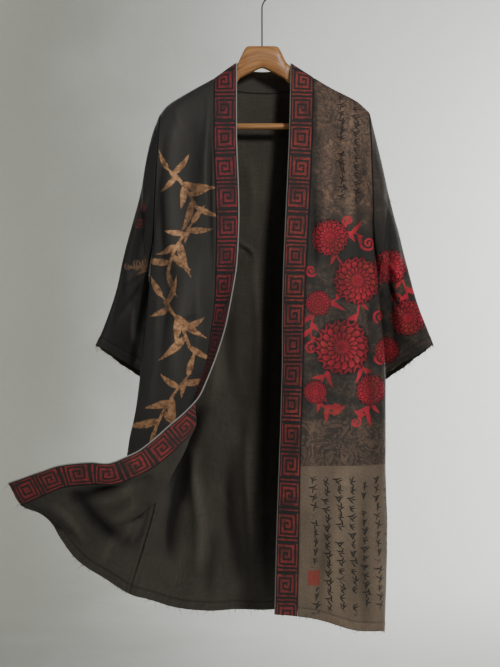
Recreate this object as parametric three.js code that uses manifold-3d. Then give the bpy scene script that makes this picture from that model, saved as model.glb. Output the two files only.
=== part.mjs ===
// Long open robe on a wooden hanger, millimetres, +Z up, the front of the robe facing -Y.
// Left and right are the wearer's own: the wearer's right is -X. The origin is the inside top of the hook.
import * as THREE from "three";
import Module from "manifold-3d";

const CLOTH = 1.6; // wall of every cloth piece
const SEAM_GAP = 0.4; // clear space left between two cloth pieces along a seam
const RIDGE_GAP = 0.6; // the same where pieces meet on top of the shoulder
const NECK_DROP = 1.2; // how far the back stops below the middle of the neck seam
const PIPING_D = 3.2; // thickness of the piping cord along the free edge
const PIPING_GAP = 0.3; // clear space between the cord and the band
const CHEST = 0.13; // share of the way down at which the armhole is at its deepest
const UNDERARM = 0.265; // share of the way down at which the armhole ends
const ARMHOLE_DEPTH = 35; // half of the armhole from front to back

const HOOK_WIRE_D = 3.5; // wire of the hook
const HOOK_R = 18; // inside radius of the crook
const BAR_D = 12.5; // trouser bar
const BAR_Z = -300; // height of the bar
const BAR_HALF = 194; // half the length of the bar
const SEAT = 0.3; // clear space round the bar and the hook in the wood
const HEAD_TOP = -135.7; // top of the wooden head

// ---- vectors ----
const add = (a, b) => a.map((v, i) => v + b[i]);
const sub = (a, b) => a.map((v, i) => v - b[i]);
const mul = (a, k) => a.map((v) => v * k);
const dot = (a, b) => a[0] * b[0] + a[1] * b[1] + a[2] * b[2];
const cross = (a, b) => [
  a[1] * b[2] - a[2] * b[1],
  a[2] * b[0] - a[0] * b[2],
  a[0] * b[1] - a[1] * b[0],
];
const size = (a) => Math.hypot(...a);
const unit = (a) => mul(a, 1 / (size(a) || 1));
const mix = (a, b, t) => a.map((v, i) => v + (b[i] - v) * t);
const clamp = (t, lo, hi) => Math.min(hi, Math.max(lo, t));
const smooth = (lo, hi, x) => {
  const t = clamp((x - lo) / (hi - lo), 0, 1);
  return t * t * (3 - 2 * t);
};

// A smooth line through the rows of a table, whose first column is the place along it.
function through(rows, t) {
  const n = rows.length;
  let i = 0;
  while (i < n - 2 && t > rows[i + 1][0]) i++;
  const slope = (k) => {
    const a = rows[Math.max(0, k - 1)];
    const b = rows[Math.min(n - 1, k + 1)];
    return a.slice(1).map((v, c) => (b[c + 1] - v) / (b[0] - a[0]));
  };
  const [t0, ...p0] = rows[i];
  const [t1, ...p1] = rows[i + 1];
  const h = t1 - t0;
  const u = clamp((t - t0) / h, 0, 1);
  const [m0, m1] = [slope(i), slope(i + 1)];
  const [u2, u3] = [u * u, u * u * u];
  return p0.map(
    (v, c) =>
      v * (2 * u3 - 3 * u2 + 1) +
      m0[c] * h * (u3 - 2 * u2 + u) +
      p1[c] * (3 * u2 - 2 * u3) +
      m1[c] * h * (u3 - u2),
  );
}

// ---- tables ----
// Top line of the shoulders over the hanger. Columns: x, z.
const SHOULDER = [
  [-207, -275],
  [-193, -258],
  [-148, -230],
  [-96, -201],
  [-51, -170],
  [0, -150],
  [51, -168],
  [78, -184],
  [139, -221],
  [194, -250],
  [218, -271],
];
const shoulder = (x) => through(SHOULDER, x)[0];

// Guide lines of each piece from its top to its hem. Columns: share of the way down, x, y, z.
// The side seam starts under the arm; the others start at the chest and reach up over the shoulder.
const RIGHT = {
  tip: [-207, 0, -275],
  side: [
    [0.265, -222, 0, -543],
    [0.4, -232, 0, -677],
    [0.5, -234, 2, -769],
    [0.614, -236, 5, -882],
    [0.69, -232, 6, -958],
    [0.748, -227, 6, -1015],
    [0.81, -220, 4, -1071],
    [0.847, -228, 4, -1110],
    [0.9, -242, 3, -1159],
    [1, -271, 0, -1259],
  ],
  turn: [
    [0.13, -203, -36, -402],
    [0.265, -216, -24, -540],
    [0.4, -229, -28, -675],
    [0.5, -241, -32, -772],
    [0.57, -251, -32, -859],
    [0.614, -258, -32, -896],
    [0.69, -270, -32, -952],
    [0.748, -274, -30, -1001],
    [0.81, -256, -26, -1069],
    [0.847, -254, -24, -1106],
    [0.9, -273, -18, -1161],
    [1, -321, -8, -1226],
  ],
  middle: [
    [0.13, -165, -36, -386],
    [0.265, -172, -42, -525],
    [0.4, -178, -50, -666],
    [0.5, -184, -56, -768],
    [0.57, -192, -60, -848],
    [0.614, -196, -62, -882],
    [0.69, -212, -62, -955],
    [0.748, -228, -58, -1012],
    [0.81, -240, -46, -1073],
    [0.847, -264, -42, -1102],
    [0.9, -312, -36, -1140],
    [1, -380, -20, -1182],
  ],
  fold: [
    [0.13, -130, -35, -367],
    [0.265, -131, -43, -511],
    [0.4, -135, -50, -684],
    [0.5, -144, -55, -790],
    [0.57, -154, -60, -842],
    [0.614, -160, -62, -876],
    [0.65, -154, -64, -916],
    [0.69, -154, -76, -952],
    [0.748, -182, -76, -1008],
    [0.777, -199, -72, -1037],
    [0.81, -226, -66, -1072],
    [0.847, -277, -60, -1095],
    [0.9, -352, -54, -1112],
    [1, -439, -36, -1096],
  ],
  seam: [
    [0.13, -98, -32, -343],
    [0.265, -93, -40, -493],
    [0.33, -94, -42, -598],
    [0.4, -97, -46, -672],
    [0.46, -105, -49, -732],
    [0.515, -113, -52, -783],
    [0.57, -128, -54, -827],
    [0.614, -137, -62, -866],
    [0.65, -134, -76, -908],
    [0.69, -158, -92, -940],
    [0.748, -206, -102, -982],
    [0.777, -237, -106, -1000],
    [0.81, -285, -108, -1021],
    [0.847, -328, -104, -1021],
    [0.9, -390, -92, -1028],
    [0.935, -424, -80, -1042],
    [1, -483, -54, -1070],
  ],
  edge: [
    [0.13, -53, -30, -331],
    [0.265, -48, -36, -481],
    [0.33, -52, -52, -581],
    [0.4, -62, -66, -650],
    [0.46, -74, -76, -710],
    [0.515, -89, -84, -761],
    [0.57, -109, -93, -814],
    [0.614, -130, -102, -856],
    [0.69, -190, -112, -913],
    [0.748, -237, -118, -952],
    [0.777, -265, -120, -966],
    [0.81, -300, -120, -979],
    [0.847, -338, -117, -978],
    [0.9, -398, -106, -985],
    [0.935, -436, -92, -998],
    [1, -508, -62, -1025],
  ],
  onShoulder: [-207, -196, -165, -132, -98, -53],
};
const LEFT = {
  tip: [218, 0, -271],
  side: [
    [0.265, 227, 0, -541],
    [0.4, 239, 0, -674],
    [0.55, 248, 0, -826],
    [0.7, 249, 0, -974],
    [0.85, 252, 0, -1144],
    [1, 246, 0, -1330],
  ],
  turn: [
    [0.13, 209, -36, -398],
    [0.265, 221, -25, -538],
    [0.4, 235, -30, -675],
    [0.55, 246, -33, -821],
    [0.7, 245, -38, -976],
    [0.85, 248, -42, -1141],
    [1, 241, -44, -1324],
  ],
  middle: [
    [0.13, 172, -36, -386],
    [0.265, 178, -43, -524],
    [0.4, 188, -51, -664],
    [0.55, 196, -58, -815],
    [0.7, 196, -64, -970],
    [0.85, 198, -68, -1133],
    [1, 186, -66, -1318],
  ],
  fold: [
    [0.13, 136, -34, -370],
    [0.265, 130, -43, -505],
    [0.4, 124, -56, -650],
    [0.55, 122, -64, -808],
    [0.7, 120, -70, -966],
    [0.85, 118, -72, -1130],
    [1, 116, -68, -1297],
  ],
  seam: [
    [0.13, 101, -32, -343],
    [0.265, 94, -40, -490],
    [0.4, 86, -54, -640],
    [0.55, 81, -65, -803],
    [0.7, 76, -73, -966],
    [0.85, 73, -71, -1131],
    [1, 70, -66, -1290],
  ],
  edge: [
    [0.13, 56, -30, -330],
    [0.265, 49, -36, -480],
    [0.4, 43, -42, -631],
    [0.55, 41, -50, -796],
    [0.7, 36, -56, -960],
    [0.85, 30, -60, -1125],
    [1, 26, -62, -1287],
  ],
  onShoulder: [218, 208, 174, 138, 105, 60],
};
// Guide lines down the back, between the two side seams. Columns: share down, x, y, z.
const BACK = [
  [
    [0.13, -203, 36, -402],
    [0.265, -214, 26, -540],
    [0.4, -218, 34, -675],
    [0.614, -215, 42, -880],
    [0.81, -198, 34, -1070],
    [0.9, -212, 28, -1165],
    [1, -232, 26, -1276],
  ],
  [
    [0.13, -150, 37, -394],
    [0.4, -158, 52, -668],
    [0.7, -156, 58, -970],
    [1, -176, 50, -1298],
  ],
  [
    [0.13, -92, 38, -386],
    [0.4, -96, 52, -662],
    [0.7, -106, 52, -965],
    [1, -108, 54, -1305],
  ],
  [
    [0.13, -46, 40, -380],
    [0.4, -48, 58, -660],
    [0.7, -52, 72, -965],
    [1, -54, 74, -1306],
  ],
  [
    [0.13, 0, 40, -380],
    [0.4, 0, 54, -660],
    [0.7, -4, 52, -965],
    [1, 0, 58, -1304],
  ],
  [
    [0.13, 50, 40, -380],
    [0.4, 50, 58, -662],
    [0.7, 48, 72, -968],
    [1, 52, 74, -1306],
  ],
  [
    [0.13, 100, 38, -386],
    [0.4, 104, 52, -664],
    [0.7, 106, 54, -972],
    [1, 108, 58, -1312],
  ],
  [
    [0.13, 158, 37, -394],
    [0.4, 168, 54, -669],
    [0.7, 170, 64, -975],
    [1, 172, 68, -1322],
  ],
  [
    [0.13, 209, 36, -400],
    [0.265, 220, 26, -538],
    [0.4, 230, 34, -675],
    [0.7, 236, 44, -976],
    [1, 230, 48, -1329],
  ],
];
// Where the neck band meets the back (seam) and where it ends (free). Columns: share round, x, y, z.
const NECK_SEAM = [
  [0, -98, 0, -202],
  [0.16, -88, 22, -211],
  [0.33, -56, 36, -219],
  [0.5, 2, 43, -223],
  [0.67, 62, 36, -219],
  [0.84, 94, 22, -209],
  [1, 105, 0, -200],
];
const NECK_FREE = [
  [0, -53, 0, -171],
  [0.16, -50, 15, -175],
  [0.33, -34, 29, -179],
  [0.5, 3, 37, -181],
  [0.67, 41, 29, -178],
  [0.84, 57, 15, -174],
  [1, 60, 0, -171],
];

// Columns of the back that lie under the neck band, and the neck band's own.
const NECK_COLUMNS = [3, 3.35, 3.7, 4, 4.5, 5, 5.5, 6, 6.3, 6.65, 7];

// Sleeves: the outer fold from the shoulder, and the fold under the arm, down to the cuff.
// Columns: share of the way down, x, y, z.
const SLEEVE_RIGHT = {
  arm: RIGHT,
  outer: [
    [0, -208, 0, -275],
    [0.11, -224, 1, -320],
    [0.27, -240, 2, -398],
    [0.37, -251, 3, -449],
    [0.63, -284, 6, -573],
    [0.75, -297, 8, -634],
    [0.92, -324, 10, -713],
    [1, -340, 10, -749],
  ],
  inner: [
    [0, -224, 0, -543],
    [0.15, -229, 16, -585],
    [0.4, -234, 46, -662],
    [0.7, -237, 74, -745],
    [1, -240, 94, -815],
  ],
  cuffDepth: 25,
  drop: 16,
};
const SLEEVE_LEFT = {
  arm: LEFT,
  outer: [
    [0, 219, 0, -271],
    [0.16, 238, 1, -353],
    [0.37, 262, 3, -451],
    [0.54, 281, 5, -528],
    [0.67, 297, 7, -588],
    [0.84, 319, 9, -665],
    [0.96, 343, 10, -726],
    [1, 351, 10, -748],
  ],
  inner: [
    [0, 229, 0, -541],
    [0.15, 235, 16, -583],
    [0.4, 240, 46, -662],
    [0.7, 244, 72, -745],
    [1, 240, 90, -824],
  ],
  cuffDepth: 24,
  drop: 16,
};

// Wooden yoke. Columns: distance from the middle, top under the head's own line, bottom, half thickness.
// Past the head the top follows the shoulders instead.
const HEAD = [
  [0, -135.7, -181, 13],
  [14, -135.7, -186, 13],
  [28, -136.2, -193, 13],
  [34, -139, -196, 12.6],
  [39, -147, -199, 11.6],
  [46, -162, -203, 10.2],
];
const ARM = [
  [52, 38, 8.4],
  [75, 38, 9],
  [93, 38, 9],
  [112, 38, 9],
  [150, 40, 9],
  [178, 45, 9],
  [192, 44, 8.8],
  [200, 38, 7],
  [203, 26, 4],
]; // columns: distance from the middle, depth of the arm below the shoulder, half thickness

// ---- lines and rows of the body ----
// The armhole: 0 at the shoulder, 1 under the arm; facing is -1 for the front and 1 for the back.
function armhole(arm, t, facing) {
  const angle = Math.PI * t;
  const under = arm.side[0].slice(1);
  const middle = mul(add(arm.tip, under), 0.5);
  const half = mul(sub(under, arm.tip), 0.5);
  const p = add(middle, mul(half, -Math.cos(angle)));
  p[1] = facing * ARMHOLE_DEPTH * Math.sin(angle);
  return p;
}
const armholeShare = (down) =>
  down < CHEST
    ? (0.5 * down) / CHEST
    : 0.5 + (0.5 * (down - CHEST)) / (UNDERARM - CHEST);

// Cloth that lies level on its top line, then bends over and hangs straight at the chest.
function hang(top, chest, down) {
  const a = (0.5 * Math.PI * down) / CHEST;
  const k = 1 - Math.cos(a);
  return [
    top[0] + (chest[0] - top[0]) * k,
    top[1] + (chest[1] - top[1]) * Math.sin(a),
    top[2] + (chest[2] - top[2]) * k,
  ];
}
function sideSeam(arm, down, facing) {
  return down < UNDERARM
    ? armhole(arm, armholeShare(down), facing)
    : through(arm.side, down);
}
const beyond = (end, inner) => add(end, sub(end, inner));

// An even smooth line through guide points: at(k) is the k-th of them, at(k + 0.5) half way on.
function rowThrough(points, before, after) {
  let run = 0;
  const all = [before, ...points, after];
  const rows = all.map((p, i) => {
    if (i) run += Math.sqrt(size(sub(p, all[i - 1])));
    return [run, ...p];
  });
  return (k) => {
    const i = clamp(Math.floor(k), 0, points.length - 2) + 1;
    return through(rows, rows[i][0] + (rows[i + 1][0] - rows[i][0]) * (k - i + 1));
  };
}
function frontRow(arm, down) {
  const side = sideSeam(arm, down, -1);
  const inner = ["turn", "middle", "fold", "seam", "edge"].map((name) => through(arm[name], down));
  const behind = through(BACK[arm === RIGHT ? 0 : BACK.length - 1], down);
  const open = smooth(UNDERARM - 0.04, UNDERARM, down);
  const before = mix(beyond(side, inner[0]), behind, open);
  return rowThrough([side, ...inner], before, beyond(inner[4], inner[3]));
}
function backRow(down) {
  const right = sideSeam(RIGHT, down, 1);
  const left = sideSeam(LEFT, down, 1);
  const inner = BACK.map((guide) => through(guide, down));
  const open = smooth(UNDERARM - 0.04, UNDERARM, down);
  const before = mix(beyond(right, inner[0]), through(RIGHT.turn, down), open);
  const after = mix(beyond(left, inner[inner.length - 1]), through(LEFT.turn, down), open);
  return rowThrough([right, ...inner, left], before, after);
}
function shoulderAt(guides, k) {
  const i = clamp(Math.floor(k), 0, guides.length - 2);
  const x = guides[i] + (guides[i + 1] - guides[i]) * (k - i);
  return [x, 0, shoulder(x)];
}
// The top line of the back: over the right shoulder, under the neck band, over the left shoulder.
const BACK_TOP = [-207, -192, -150, -98, -56, 2, 62, 105, 160, 205, 218];
const NECK_AT = [0, 0.33, 0.5, 0.67, 1]; // shares round the neck at its five guides
function backTop(k) {
  const i = Math.floor(k) - 3;
  if (i < 0 || i > 3) return shoulderAt(BACK_TOP, k);
  return through(NECK_SEAM, NECK_AT[i] + (NECK_AT[i + 1] - NECK_AT[i]) * (k - i - 3));
}
// The same place on a row, moved by some millimetres along it.
function nudged(at, k, move, last) {
  if (!move) return at(k);
  const d = 0.02;
  const [a, b] = [Math.max(0, k - d), Math.min(last, k + d)];
  return add(at(k), mul(unit(sub(at(b), at(a))), move));
}

// ---- walls ----
// The way a surface faces at (down, k), from the slopes of place(down, k).
function facing(place, down, k, last) {
  const d = 0.002;
  const e = 0.02;
  const v = sub(place(Math.min(1, down + d), k), place(Math.max(0, down - d), k));
  const u = sub(place(down, Math.min(last, k + e)), place(down, Math.max(0, k - e)));
  return unit(cross(u, v));
}

// A closed wall on a grid of points with their normals; ring closes each row on itself.
function wall(points, normals, ring = false) {
  const rows = points.length;
  const cols = points[0].length;
  const position = [];
  for (const side of [0.5, -0.5])
    for (let i = 0; i < rows; i++)
      for (let j = 0; j < cols; j++)
        position.push(...add(points[i][j], mul(normals[i][j], side * CLOTH)));
  const id = (layer, i, j) => (layer * rows + i) * cols + (j % cols);
  const index = [];
  const quad = (a, b, c, d) => index.push(a, b, c, a, c, d);
  const across = ring ? cols : cols - 1;
  for (let i = 0; i < rows - 1; i++)
    for (let j = 0; j < across; j++) {
      quad(id(0, i, j), id(0, i, j + 1), id(0, i + 1, j + 1), id(0, i + 1, j));
      quad(id(1, i, j), id(1, i + 1, j), id(1, i + 1, j + 1), id(1, i, j + 1));
    }
  const rim = (a, b) => quad(id(0, ...a), id(1, ...a), id(1, ...b), id(0, ...b));
  for (let j = 0; j < across; j++) {
    rim([0, j], [0, j + 1]);
    rim([rows - 1, j + 1], [rows - 1, j]);
  }
  if (!ring)
    for (let i = 0; i < rows - 1; i++) {
      rim([i + 1, 0], [i, 0]);
      rim([i, cols - 1], [i + 1, cols - 1]);
    }
  return solid(position, index);
}

function solid(position, index) {
  const g = new THREE.BufferGeometry();
  g.setAttribute("position", new THREE.Float32BufferAttribute(position, 3));
  g.setIndex(index);
  g.computeVertexNormals();
  return g;
}

// A round cord: frames hold its centre and the two directions across it.
function cord(frames, radius, sides = 6) {
  const position = [];
  for (const { centre, u, v } of frames)
    for (let k = 0; k < sides; k++) {
      const a = (2 * Math.PI * (k + 0.5)) / sides;
      const out = add(mul(u, radius * Math.cos(a)), mul(v, radius * Math.sin(a)));
      position.push(...add(centre, out));
    }
  const last = frames.length;
  position.push(...frames[0].centre, ...frames[last - 1].centre);
  const along = unit(sub(frames[1].centre, frames[0].centre));
  const turned = dot(cross(frames[0].u, frames[0].v), along) < 0;
  const index = [];
  const tri = (a, b, c) => (turned ? index.push(a, c, b) : index.push(a, b, c));
  for (let i = 0; i < last - 1; i++)
    for (let k = 0; k < sides; k++) {
      const n = (k + 1) % sides;
      const [a, b] = [i * sides + k, i * sides + n];
      tri(a, b, b + sides);
      tri(a, b + sides, a + sides);
    }
  const [c0, c1] = [last * sides, last * sides + 1];
  for (let k = 0; k < sides; k++) {
    const n = (k + 1) % sides;
    tri(c0, n, k);
    tri(c1, (last - 1) * sides + k, (last - 1) * sides + n);
  }
  return solid(position, index);
}

// ---- where the rows and columns of each grid lie ----
const even = (n) => Array.from({ length: n + 1 }, (_, i) => i / n);
const DOWN = [0, 0.012, 0.026, 0.044, 0.066, 0.095, 0.13, 0.17, 0.215, 0.265, 0.33, 0.4, 0.46, 0.515,
  0.56, 0.595, 0.625, 0.655, 0.69, 0.72, 0.75, 0.78, 0.81, 0.84, 0.87, 0.905, 0.94, 0.97, 1];

const between = (from, to, n) => even(n).map((t) => from + (to - from) * t);
function remembered(make) {
  const kept = new Map();
  return (key) => {
    if (!kept.has(key)) kept.set(key, make(key));
    return kept.get(key);
  };
}

// Front panel, band and cord of one side. Along a row 0 is the side, 4 the band's seam, 5 the edge.
function front(arm, columns) {
  const seam = 4;
  const edge = 5;
  const row = remembered((down) => frontRow(arm, down));
  const place = (down, k) =>
    down < CHEST ? hang(shoulderAt(arm.onShoulder, k), row(CHEST)(k), down) : row(down)(k);
  const half = SEAM_GAP / 2;
  const rim = PIPING_D + PIPING_GAP;
  const made = (list, first, last) => {
    const points = DOWN.map((down) =>
      list.map((k, i) => {
        const move = i === 0 ? first : i === list.length - 1 ? last : 0;
        return nudged((at) => place(down, at), k, move, edge);
      }),
    );
    const normals = DOWN.map((down) => list.map((k) => facing(place, down, k, edge)));
    points[0] = points[0].map((p) => add(p, [0, -RIDGE_GAP / 2, 0]));
    return wall(points, normals);
  };
  const frames = DOWN.map((down, i) => {
    const at = (k) => place(down, k);
    const u = unit(sub(at(edge), at(edge - 0.05)));
    const n = facing(place, down, edge, edge);
    const centre = sub(at(edge), mul(u, PIPING_D / 2));
    if (!i) centre[1] -= RIDGE_GAP / 2;
    return { centre, u, v: unit(sub(n, mul(u, dot(n, u)))) };
  });
  return {
    panel: made(columns, half, -half),
    band: made(between(seam, edge, 3), half, -rim),
    piping: cord(frames, PIPING_D / 2),
  };
}

function back() {
  const last = BACK_TOP.length - 1;
  const [neckFrom, neckTo] = [3, 7];
  const row = remembered(backRow);
  const place = (down, k) => (down < CHEST ? hang(backTop(k), row(CHEST)(k), down) : row(down)(k));
  const columns = [0, 0.4, 1, 1.5, 2, 2.5, ...NECK_COLUMNS, 7.5, 8, 8.5, 9, 9.6, 10];
  const points = DOWN.map((down) =>
    columns.map((k) => {
      const move = k === 0 ? SEAM_GAP / 2 : k === last ? -SEAM_GAP / 2 : 0;
      return nudged((at) => place(down, at), k, move, last);
    }),
  );
  const normals = DOWN.map((down) => columns.map((k) => facing(place, down, k, last)));
  // The top edge stays clear of the shoulder seam, and of the neck band above it.
  points[0] = points[0].map((p, j) => {
    const underNeck = columns[j] >= neckFrom && columns[j] <= neckTo;
    return add(p, [0, RIDGE_GAP / 2, underNeck ? -NECK_DROP : 0]);
  });
  return wall(points, normals);
}

function neckBand() {
  const share = (k) => {
    const i = Math.min(3, Math.floor(k) - 3);
    return NECK_AT[i] + (NECK_AT[i + 1] - NECK_AT[i]) * (k - i - 3);
  };
  const rounds = NECK_COLUMNS.map(share);
  const place = (round, across) => {
    const a = through(NECK_SEAM, round);
    const b = through(NECK_FREE, round);
    const wide = size(sub(b, a));
    const from = (SEAM_GAP * 0.6) / wide;
    const to = 1 - (PIPING_D + PIPING_GAP) / wide;
    return mix(a, b, from + (to - from) * across);
  };
  const face = (r, s) => facing(place, r, s, 1);
  const points = rounds.map((r) => even(3).map((s) => place(r, s)));
  const normals = rounds.map((r) => even(3).map((s) => face(r, s)));
  const frames = rounds.map((r) => {
    const [a, b] = [through(NECK_SEAM, r), through(NECK_FREE, r)];
    const u = unit(sub(b, a));
    const n = face(r, 1);
    return { centre: sub(b, mul(u, PIPING_D / 2)), u, v: unit(sub(n, mul(u, dot(n, u)))) };
  });
  for (const i of [0, rounds.length - 1]) {
    points[i] = points[i].map((p) => [p[0], RIDGE_GAP / 2, p[2]]);
    frames[i].centre[1] = RIDGE_GAP / 2;
  }
  return { band: wall(points, normals), piping: cord(frames, PIPING_D / 2) };
}

function sleeve({ arm, outer, inner, cuffDepth, drop }) {
  const out = Math.sign(arm.tip[0]);
  const ring = (down, turn) => {
    const angle = 2 * Math.PI * turn; // 0 on the outer fold, a quarter at the front, half under the arm
    const [o, i] = [through(outer, down), through(inner, down)];
    const middle = mul(add(o, i), 0.5);
    const half = mul(sub(i, o), 0.5);
    const axis = sub(
      mul(add(through(outer, Math.min(1, down + 0.1)), through(inner, Math.min(1, down + 0.1))), 0.5),
      mul(add(through(outer, Math.max(0, down - 0.1)), through(inner, Math.max(0, down - 0.1))), 0.5),
    );
    let n = unit(cross(half, axis));
    if (n[1] > 0) n = mul(n, -1);
    const level = smooth(0, 0.35, down);
    n = unit(mix([0, -1, 0], n, level));
    const depth = ARMHOLE_DEPTH + (cuffDepth - ARMHOLE_DEPTH) * smooth(0, 0.8, down);
    const p = add(add(middle, mul(half, -Math.cos(angle))), mul(n, depth * Math.sin(angle)));
    const low = (1 - Math.cos(angle)) * (1 - Math.sin(angle)) * 0.25;
    p[2] -= drop * low * down * down;
    p[0] += out * 0.5 * (1 - down);
    return p;
  };
  const downs = [0, 0.03, 0.08, 0.15, 0.24, 0.34, 0.45, 0.57, 0.69, 0.8, 0.91, 1];
  const around = 24;
  const turns = Array.from({ length: around }, (_, k) => k / around);
  const face = (d, t) => {
    const e = 0.004;
    const v = sub(ring(Math.min(1, d + e), t), ring(Math.max(0, d - e), t));
    const u = sub(ring(d, t + e), ring(d, t - e));
    return unit(cross(u, v));
  };
  const points = downs.map((d) => turns.map((t) => ring(d, t)));
  const normals = downs.map((d) => turns.map((t) => face(d, t)));
  return wall(points, normals, true);
}

// ---- hanger ----
const wasm = await Module();
wasm.setup();
function toManifold(geometry) {
  return new wasm.Manifold(
    new wasm.Mesh({
      numProp: 3,
      vertProperties: new Float32Array(geometry.getAttribute("position").array),
      triVerts: new Uint32Array(geometry.index.array),
    }),
  );
}
function fromManifold(body) {
  const m = body.getMesh();
  const position = [];
  for (let i = 0; i < m.numVert; i++)
    position.push(...m.vertProperties.subarray(i * m.numProp, i * m.numProp + 3));
  return solid(position, [...m.triVerts]);
}
function straight(from, to, radius, sides) {
  const t = unit(sub(to, from));
  const u = unit(Math.abs(t[2]) < 0.9 ? cross(t, [0, 0, 1]) : cross(t, [0, 1, 0]));
  const v = cross(t, u);
  return cord([from, to].map((centre) => ({ centre, u, v })), radius, sides);
}

function yoke() {
  const under = CLOTH / 2 + 2.3; // wood to the middle of the cloth that lies on it
  const stations = [];
  for (const side of [-1, 1]) {
    const part = HEAD.map(([x, top, bottom, half]) => [side * x, top, bottom, half]);
    for (const [x, depth, half] of ARM) {
      const top = shoulder(side * x) - under;
      part.push([side * x, top, top - depth, half]);
    }
    stations.push(...(side < 0 ? part.reverse().slice(0, -1) : part));
  }
  const sides = 16;
  const position = [];
  for (const [x, top, bottom, half] of stations)
    for (let k = 0; k < sides; k++) {
      const a = (2 * Math.PI * (k + 0.5)) / sides;
      const round = (c) => Math.sign(c) * Math.abs(c) ** 0.8;
      const z = (top + bottom) / 2 + ((top - bottom) / 2) * round(Math.sin(a));
      position.push(x, half * round(Math.cos(a)), z);
    }
  const n = stations.length;
  const middle = (s) => [s[0], 0, (s[1] + s[2]) / 2];
  position.push(...middle(stations[0]), ...middle(stations[n - 1]));
  const index = [];
  for (let i = 0; i < n - 1; i++)
    for (let k = 0; k < sides; k++) {
      const next = (k + 1) % sides;
      const [a, b] = [i * sides + k, i * sides + next];
      index.push(a, b, b + sides, a, b + sides, a + sides);
    }
  for (let k = 0; k < sides; k++) {
    const next = (k + 1) % sides;
    index.push(n * sides, next, k);
    index.push(n * sides + 1, (n - 1) * sides + k, (n - 1) * sides + next);
  }
  const barSeat = straight([-BAR_HALF - SEAT, 0, BAR_Z], [BAR_HALF + SEAT, 0, BAR_Z],
    BAR_D / 2 + SEAT, 20);
  const hookSeat = straight([0, 0, HEAD_TOP - 20], [0, 0, HEAD_TOP + 10],
    HOOK_WIRE_D / 2 + SEAT, 12);
  return fromManifold(
    toManifold(solid(position, index)).subtract(toManifold(barSeat)).subtract(toManifold(hookSeat)),
  );
}

function hook() {
  const r = HOOK_WIRE_D / 2;
  const reach = HOOK_R + r;
  const centre = [0, -HOOK_R];
  const path = [
    [0, HEAD_TOP - 20 + SEAT],
    [0, -120],
    [0, -90],
    [0, -64],
    [0.4, -54],
    [4, -45],
    [11, -36.5],
  ];
  for (let a = -25; a <= 200; a += 15) {
    const t = (a * Math.PI) / 180;
    path.push([centre[0] + reach * Math.cos(t), centre[1] + reach * Math.sin(t)]);
  }
  const frames = path.map(([x, z], i) => {
    const a = path[Math.max(0, i - 1)];
    const b = path[Math.min(path.length - 1, i + 1)];
    const t = unit([b[0] - a[0], 0, b[1] - a[1]]);
    return { centre: [x, 0, z], u: cross(t, [0, 1, 0]), v: [0, 1, 0] };
  });
  return cord(frames, r, 8);
}

// ---- the whole object ----
const group = new THREE.Group();
const material = (color, roughness, metalness = 0) =>
  new THREE.MeshStandardMaterial({ color, roughness, metalness });
function put(name, geometry, look) {
  const mesh = new THREE.Mesh(geometry, look);
  mesh.name = name;
  group.add(mesh);
}
const right = front(RIGHT, [0, 0.35, 0.7, 1, 1.25, 1.5, 1.75, 2, 2.3, 2.65, 3, 3.3, 3.65, 4]);
const left = front(LEFT, [0, 0.35, 0.7, 1, 1.3, 1.7, 2, 2.35, 2.7, 3, 3.3, 3.65, 4]);
const neck = neckBand();
put("back", back(), material(0x2f2c2a, 0.9));
put("front_right", right.panel, material(0x33302d, 0.9));
put("front_left", left.panel, material(0x33302d, 0.9));
put("sleeve_right", sleeve(SLEEVE_RIGHT), material(0x33302d, 0.9));
put("sleeve_left", sleeve(SLEEVE_LEFT), material(0x33302d, 0.9));
put("band_right", right.band, material(0x5a2a2c, 0.9));
put("band_left", left.band, material(0x5a2a2c, 0.9));
put("band_neck", neck.band, material(0x5a2a2c, 0.9));
put("piping_right", right.piping, material(0x8f8d88, 0.8));
put("piping_left", left.piping, material(0x8f8d88, 0.8));
put("piping_neck", neck.piping, material(0x8f8d88, 0.8));
put("hanger_yoke", yoke(), material(0xb08a5a, 0.5));
put("hanger_bar", straight([-BAR_HALF, 0, BAR_Z], [BAR_HALF, 0, BAR_Z], BAR_D / 2, 20),
  material(0xb08a5a, 0.5));
put("hanger_hook", hook(), material(0xb9bcc0, 0.3, 1));

export default group;
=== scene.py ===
"""A long open robe hanging on a wooden hanger: its cloth, prints, band, piping and wood."""

import math

import bpy
import numpy as np
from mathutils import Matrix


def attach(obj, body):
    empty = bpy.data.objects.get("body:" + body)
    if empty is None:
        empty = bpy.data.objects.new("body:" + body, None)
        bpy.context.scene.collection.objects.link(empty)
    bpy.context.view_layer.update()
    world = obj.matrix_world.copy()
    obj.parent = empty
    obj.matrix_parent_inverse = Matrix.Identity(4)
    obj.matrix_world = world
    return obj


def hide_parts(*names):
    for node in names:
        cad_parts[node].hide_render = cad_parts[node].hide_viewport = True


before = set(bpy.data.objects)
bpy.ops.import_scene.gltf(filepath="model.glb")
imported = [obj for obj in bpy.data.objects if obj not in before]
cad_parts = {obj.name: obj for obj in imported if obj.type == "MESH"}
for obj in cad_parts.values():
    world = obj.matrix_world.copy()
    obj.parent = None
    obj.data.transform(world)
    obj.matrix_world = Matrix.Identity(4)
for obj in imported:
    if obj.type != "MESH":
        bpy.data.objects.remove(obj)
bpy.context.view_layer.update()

# Sizes, millimetres
CLOTH = 1.6  # wall of the cloth pieces
SEAM_GAP = 0.4
RIDGE_GAP = 0.6
NECK_DROP = 1.2
PIPING_D = 2.8
CHEST = 0.13  # share of the way down at which the armhole is at its deepest
UNDERARM = 0.265
ARMHOLE_DEPTH = 35
HEM = 18  # depth of the sewn hem
FAR = 400.0  # distances from a rim are kept up to this
SIDE_LAP = (2.2, 2.1)  # the back's side edges: how far past the fronts' edges, and how far in
NECK_LAP = (3.4, 1.9)  # the neck band's sewn edge: how far down the back, and how far in
BAND_EXTRA = 0.6  # the doubled band is thicker than the panels by this
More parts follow.
